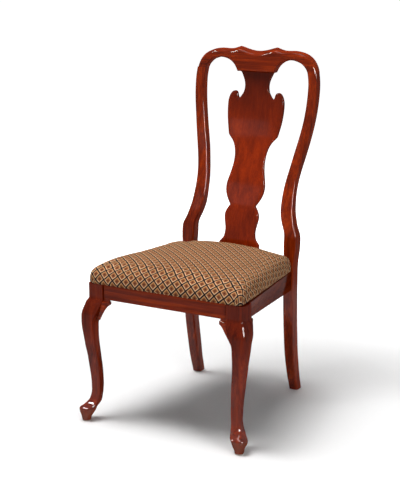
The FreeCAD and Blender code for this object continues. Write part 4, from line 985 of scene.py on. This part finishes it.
corners = dustOutline()
rim = []
for a, b in zip(corners, corners[1:] + corners[:1]):
    n = max(1, round((b - a).length / dustLook["gap"]))
    rim += [a.lerp(b, k / n) for k in range(n)]
lowX, highX = min(p.x for p in corners), max(p.x for p in corners)
lowY, highY = min(p.y for p in corners), max(p.y for p in corners)
clear = dustLook["gap"] / 2
inside = []
for x in np.arange(lowX, highX, dustLook["gap"]):
    for y in np.arange(lowY, highY, dustLook["gap"]):
        around = [(x + dx, y + dy) for dx in (-clear, clear) for dy in (-clear, clear)]
        if all(insidePolygon(*spot, corners) for spot in around):
            inside.append(Vector((x, y)))
flat, cells = filled(rim, inside)
points = []
for p in flat:
    share = min(1, min((p - e).length for e in rim) / dustLook["sagReach"])
    points.append((p.x, p.y, seatPlaneZ(p.y) - dustLook["fall"] - dustLook["sag"] * share * (2 - share)))
dustMesh = newMesh(points, cells)
g = Graph("dustCloth")
coords = g.coords()
fuzz = g.noise(coords, 900, 3)
blotch = g.add("ShaderNodeTexVoronoi", None, {"Vector": coords, "Scale": 420})
dustCloth = g.surface({
    "Base Color": g.mix(fuzz, dustLook["colour"], dustLook["lint"]), "Roughness": dustLook["roughness"],
    "Normal": g.bump(0.4, 0.0003, fuzz + blotch),
})
dust = place("dustCover", dustMesh, dustCloth, ["dust_cover"], 60)
print("dust cover built: %.0f x %.0f mm" % ((highX - lowX) * 1000, (highY - lowY) * 1000))

# screws and tacks: one node tree makes a slotted or domed head with its shank at every given point,
# some of its sizes as shares of the head's

fastener = {
    "sides": 24, "shankSides": 12, "topShare": 0.78, "rimShare": 0.4, "slotShare": 2.4, "slotLift": 1.05,
    "screw": {"Head Radius": 0.00425, "Head Height": 0.0026, "Shank Radius": 0.0021, "Slot Width": 0.0011},
    "tack": {
        "Head Radius": 0.0030, "Head Height": 0.0012, "Shank Radius": 0.0008, "Shank Length": 0.0075,
        "Slot Width": 0.0,
    },
}


def headTree():
    tree = bpy.data.node_groups.new("fastenerHeads", "GeometryNodeTree")

    def port(label, kind, way="INPUT"):
        made = tree.interface.new_socket(name=label, in_out=way, socket_type="NodeSocket" + kind)
        return made.identifier

    def add(kind, values, **settings):
        made = tree.nodes.new(kind)
        for key, value in settings.items():
            setattr(made, key, value)
        for key, value in values.items():
            if isinstance(value, bpy.types.NodeSocket):
                tree.links.new(value, made.inputs[key])
            else:
                made.inputs[key].default_value = value
        return made.outputs[0] if len(made.outputs) else None

    def scaled(socket, share):
        return add("ShaderNodeMath", {0: socket, 1: share}, operation="MULTIPLY")

    def moved(mesh, height):
        upward = add("ShaderNodeCombineXYZ", {"Z": height})
        return add("GeometryNodeTransform", {"Geometry": mesh, "Translation": upward})

    port("Geometry", "Geometry")
    ids = {label: port(label, "Float") for label in fastener["tack"]}
    ids["Finish"] = port("Finish", "Material")
    port("Geometry", "Geometry", "OUTPUT")
    given = tree.nodes.new("NodeGroupInput").outputs
    radius, height, long = given["Head Radius"], given["Head Height"], given["Shank Length"]
    cap = add("GeometryNodeMeshCone", {
        "Vertices": fastener["sides"], "Side Segments": 2, "Radius Bottom": radius,
        "Radius Top": scaled(radius, fastener["topShare"]), "Depth": height,
    })
    rim = add("GeometryNodeMeshCylinder", {
        "Vertices": fastener["sides"], "Radius": radius, "Depth": scaled(height, fastener["rimShare"]),
    })
    wholeHead = add("GeometryNodeMeshBoolean", {"Mesh 2": cap}, operation="UNION")
    tree.links.new(rim, wholeHead.node.inputs["Mesh 2"])
    slotSize = add("ShaderNodeCombineXYZ", {
        "X": scaled(radius, fastener["slotShare"]), "Y": given["Slot Width"], "Z": height,
    })
    slot = moved(add("GeometryNodeMeshCube", {"Size": slotSize}), scaled(height, fastener["slotLift"]))
    slotted = add("GeometryNodeMeshBoolean", {"Mesh 1": wholeHead, "Mesh 2": slot}, operation="DIFFERENCE")
    shank = add("GeometryNodeMeshCylinder", {
        "Vertices": fastener["shankSides"], "Radius": given["Shank Radius"], "Depth": long,
    })
    both = add("GeometryNodeJoinGeometry", {"Geometry": slotted})
    tree.links.new(moved(shank, scaled(long, -0.5)), both.node.inputs[0])
    way = add("GeometryNodeInputNamedAttribute", {"Name": "way"}, data_type="FLOAT_VECTOR")
    turn = add("FunctionNodeAlignRotationToVector", {"Vector": way}, axis="Z")
    heads = add("GeometryNodeInstanceOnPoints", {
        "Points": given["Geometry"], "Instance": both, "Rotation": turn,
    })
    real = add("GeometryNodeRealizeInstances", {"Geometry": heads})
    finished = add("GeometryNodeSetMaterial", {"Geometry": real, "Material": given["Finish"]})
    add("NodeGroupOutput", {0: finished})
    return tree, ids


g = Graph("zincSteel")
grime = g.noise(g.coords(), 600, 3)
tint = g.mix(grime, (0.42, 0.42, 0.43), (0.62, 0.61, 0.58))
zincSteel = g.surface({"Base Color": tint, "Metallic": 1.0, "Roughness": grime * 0.3 + 0.22})
headGroup, headIds = headTree()


def fasteners(name, node, found, sizes):  # found: head end, the way it faces and length of each
    spots = [end - axis * sizes["Head Height"] / 2 for end, axis, _ in found]
    mesh = newMesh(spots, [])
    ways = mesh.attributes.new("way", "FLOAT_VECTOR", "POINT")
    ways.data.foreach_set("vector", [part for _, axis, _ in found for part in axis])
    points = linked(name + "Points", mesh)
    modifier = points.modifiers.new("heads", "NODES")
    modifier.node_group = headGroup
    for label, value in sizes.items():
        modifier[headIds[label]] = value
    modifier[headIds["Finish"]] = zincSteel
    place(name, tidyMesh(bakedMesh(points), 0.000005), zincSteel, [node], 40)


def islands(node):  # the separate solids of a CAD node, each as its points
    work = bmesh.new()
    work.from_mesh(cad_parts[node].data)
    bmesh.ops.remove_doubles(work, verts=work.verts, dist=0.00001)
    taken, found = set(), []
    for start in work.verts:
        if start in taken:
            continue
        taken.add(start)
        group = [start]
        for vertex in group:  # the list grows while it is walked
            beside = [link.other_vert(vertex) for link in vertex.link_edges]
            fresh = [other for other in beside if other not in taken]
            taken.update(fresh)
            group += fresh
        found.append(np.array([v.co for v in group]))
    work.free()
    return found


def screwSpot(points):  # head end of a screw solid, the way its head faces, and its length
    centre = points.mean(0)
    axis = np.linalg.svd(points - centre)[2][0]
    reach = (points - centre) @ axis
    wide = np.linalg.norm((points - centre) - np.outer(reach, axis), axis=1)
    if reach[wide > wide.max() * 0.9].mean() < 0:
        axis, reach = -axis, -reach
    middle = centre + axis * (reach.max() + reach.min()) / 2
    length = reach.max() - reach.min()
    return middle + axis * length / 2, axis, length


for name, node in (("blockScrews", "corner_block_screws"), ("seatScrews", "seat_screws")):
    found = [screwSpot(points) for points in islands(node)]
    sizes = dict(fastener["screw"])
    sizes["Shank Length"] = min(length for _, _, length in found) - sizes["Head Height"] / 2
    fasteners(name, node, found, sizes)
tacks = [screwSpot(points) for points in islands("seat_tacks")]
fasteners("seatTacks", "seat_tacks", tacks, fastener["tack"])
print("screws and tacks built:", len(tacks), "tacks")

# glides: turned discs with a soft edge, each with its nail

glide = {
    "radius": 0.012, "high": 0.003, "edge": 0.0007, "edgeSteps": 4, "nail": 0.0013, "nailLong": 0.015,
    "sides": 48, "dull": (0.42, 0.33, 0.26), "pale": (0.60, 0.52, 0.44), "roughness": 0.4,
}


def glideRings(x, y):
    soft = quarterRound(glide["edge"], glide["edgeSteps"])
    profile = [(glide["radius"] - inset, z) for inset, z in soft]
    top = glide["high"]
    profile += [(glide["radius"], top), (glide["nail"], top), (glide["nail"], top + glide["nailLong"])]
    turns = [k * 2 * math.pi / glide["sides"] for k in range(glide["sides"])]
    return [[(x + r * math.cos(t), y + r * math.sin(t), z) for t in turns] for r, z in profile]


g = Graph("glide")
coords = g.coords()
cloud = g.noise(coords, 240, 3)
scuff = g.noise(coords, 1500, 2)
tint = g.mix(cloud, glide["dull"], glide["pale"])
rough = scuff * 0.2 + glide["roughness"]
glideFinish = g.surface({"Base Color": tint, "Roughness": rough, "Normal": g.bump(0.2, 0.0002, scuff)})
for end in ("front", "rear"):
    for side in ("left", "right"):
        node = "glide_%s_%s" % (end, side)
        low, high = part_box(node)
        name = "glide" + end.capitalize() + side.capitalize()
        rings = glideRings((low.x + high.x) / 2, (low.y + high.y) / 2)
        place(name, tidyMesh(skinRings(rings)), glideFinish, [node])
print("glides built")

# plain bare wood for the parts inside the frame

plainLook = dict(
    woodLook, dark=(0.30, 0.17, 0.08), middle=(0.44, 0.28, 0.15), light=(0.56, 0.39, 0.23),
    streak=(0.22, 0.12, 0.06), roughness=0.7, gloss=0.3, coat=0.0,
)
plainBack = stainedWood("plainWoodBack", "y", plainLook, 0.4)
plainAcross = stainedWood("plainWoodAcross", "x", plainLook, 0.9)
plainUp = stainedWood("plainWoodUp", "z", plainLook, 1.3)

# seat board, drawn a little inside its solid so that the rounded edge of the cloth covers it

board = {"inset": 0.008, "low": 0.003, "high": 0.0135, "spots": 60, "squareness": 0.2}
boardPoints = []
for k in range(board["spots"]):
    turn = 2 * math.pi * (k + 0.5) / board["spots"]
    spot = (math.cos(turn), math.sin(turn))
    squareX, squareY = (math.copysign(abs(part) ** board["squareness"], part) for part in spot)
    y = pad["depth"] / 2 + squareY * (pad["depth"] / 2 - board["inset"])
    half = padHalf(y / pad["depth"]) - board["inset"]
    boardPoints.append((squareX * half, y))
levels = [[(x, y, z) for x, y in boardPoints] for z in (board["low"], board["high"])]
boardMesh = tidyMesh(skinRings(levels))
boardMesh.transform(seatPlace)
place("seatBoard", boardMesh, plainBack, ["seat_board"])
print("seat board built")

insides = {node: plainAcross for node in ("front_rail_dowels", "back_rail_dowels")}
for side in ("left", "right"):
    insides["side_rail_dowels_" + side] = plainBack
    insides["corner_block_front_" + side] = insides["corner_block_rear_" + side] = plainAcross
insides["crest_dowels"] = plainUp
for node, wood in insides.items():
    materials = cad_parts[node].data.materials
    materials.clear()
    materials.append(wood)
print("inner pieces dressed")

# camera at the photograph's place, angles in degrees and lengths of the picture in its own dots

view = {
    "azimuth": 28.493, "elevation": 13.674, "roll": 0.517, "spot": (1.5941, -3.00065, 1.3070),
    "focal": 1190.998, "longSide": 500, "sensor": 36.0,
}


def outwardFrom(azimuth, elevation):  # from the chair towards a camera or lamp, front is azimuth 0
    turn, rise = math.radians(azimuth), math.radians(elevation)
    return Vector((math.sin(turn) * math.cos(rise), -math.cos(turn) * math.cos(rise), math.sin(rise)))


backward = outwardFrom(view["azimuth"], view["elevation"])
azimuth, roll = math.radians(view["azimuth"]), math.radians(view["roll"])
right = Vector((math.cos(azimuth), math.sin(azimuth), 0))
up = backward.cross(right)
rightTurned = right * math.cos(roll) + up * math.sin(roll)
upTurned = up * math.cos(roll) - right * math.sin(roll)
cameraData = bpy.data.cameras.new("camera")
cameraData.sensor_fit = "AUTO"
cameraData.sensor_width = view["sensor"]
cameraData.lens = view["focal"] * view["sensor"] / view["longSide"]
camera = bpy.data.objects.new("camera", cameraData)
columns = (rightTurned, upTurned, backward, view["spot"])
camera.matrix_world = Matrix([[column[i] for column in columns] for i in range(3)] + [(0, 0, 0, 1)])
scene.collection.objects.link(camera)
scene.camera = camera

# pale floor that keeps the shadow, white behind it

floorLook = {
    "size": 200.0, "colour": (0.95, 0.95, 0.95), "bounce": (0.5, 0.5, 0.5), "fleck": 0.985,
    "lift": 0.0, "farLift": 1.0, "near": 0.45, "far": 2.2, "worldLight": 0.045,
}
half = floorLook["size"] / 2
corners = [(-half, -half, 0), (half, -half, 0), (half, half, 0), (-half, half, 0)]
floorMesh = newMesh(corners, [(0, 1, 2, 3)])
floor = linked("floor", floorMesh)
g = Graph("paleFloor")
coords = g.coords()
flecked = tuple(c * floorLook["fleck"] for c in floorLook["colour"])
tint = g.mix(g.noise(coords, 60, 2), floorLook["colour"], flecked)
seen = g.seen()
plain = g.add("ShaderNodeBsdfDiffuse", None, {"Color": g.mix(seen, floorLook["bounce"], tint)})
distance = g.add("ShaderNodeVectorMath", {"operation": "LENGTH"}, {0: coords}, "Value")
away = distance.step(floorLook["near"], floorLook["far"])
glow = away * (floorLook["farLift"] - floorLook["lift"]) + floorLook["lift"]
lift = g.add("ShaderNodeEmission", None, {"Color": (1, 1, 1), "Strength": seen * glow})
both = g.add("ShaderNodeAddShader", None, {0: plain, 1: lift})
g.add("ShaderNodeOutputMaterial", None, {"Surface": both})
floorMesh.materials.append(g.owner)

g = Graph("studio", "worlds")
scene.world = g.owner
strength = g.add("ShaderNodeMapRange", None, {"Value": g.seen(), "To Min": floorLook["worldLight"]})
background = g.add("ShaderNodeBackground", None, {"Color": (1, 1, 1), "Strength": strength})
g.add("ShaderNodeOutputWorld", None, {"Surface": background})

# each lamp: azimuth from the front towards the right, height above the seat's level, distance, width,
# length, power, and whether it works in full, as light alone or as shine in reflections alone
lamps = {
    "overhead": (-45, 82, 4.2, 1.9, 1.9, 126, "full"), "key": (-55, 66, 3.9, 1.4, 1.4, 80, "light"),
    "fill": (-20, 8, 3.6, 1.6, 0.9, 17, "light"), "side": (63, 8, 3.2, 1.3, 1.1, 36, "light"),
    "behind": (170, 9, 3.6, 1.8, 1.0, 14, "light"), "sheen": (-31, 19.5, 3.6, 0.5, 0.3, 0.9, "shine"),
    "leftGlint": (-50, 43, 3.4, 0.34, 0.52, 140, "shine"),
    "rightGlint": (63, 27, 3.0, 1.4, 1.0, 480, "shine"),
}
seatSpot = Vector((0, 0, 0.45))
for name, (azimuth, height, away, width, length, power, works) in lamps.items():
    outward = outwardFrom(azimuth, height)
    data = bpy.data.lights.new(name, "AREA")
    data.shape = "RECTANGLE"
    data.size, data.size_y, data.energy = width, length, power
    light = bpy.data.objects.new(name, data)
    light.location = seatSpot + outward * away
    light.rotation_euler = outward.to_track_quat("Z", "Y").to_euler()
    light.visible_diffuse = works != "shine"
    light.visible_glossy = works != "light"
    scene.collection.objects.link(light)
scene.view_settings.view_transform = "Standard"
print("camera, floor and lights placed")
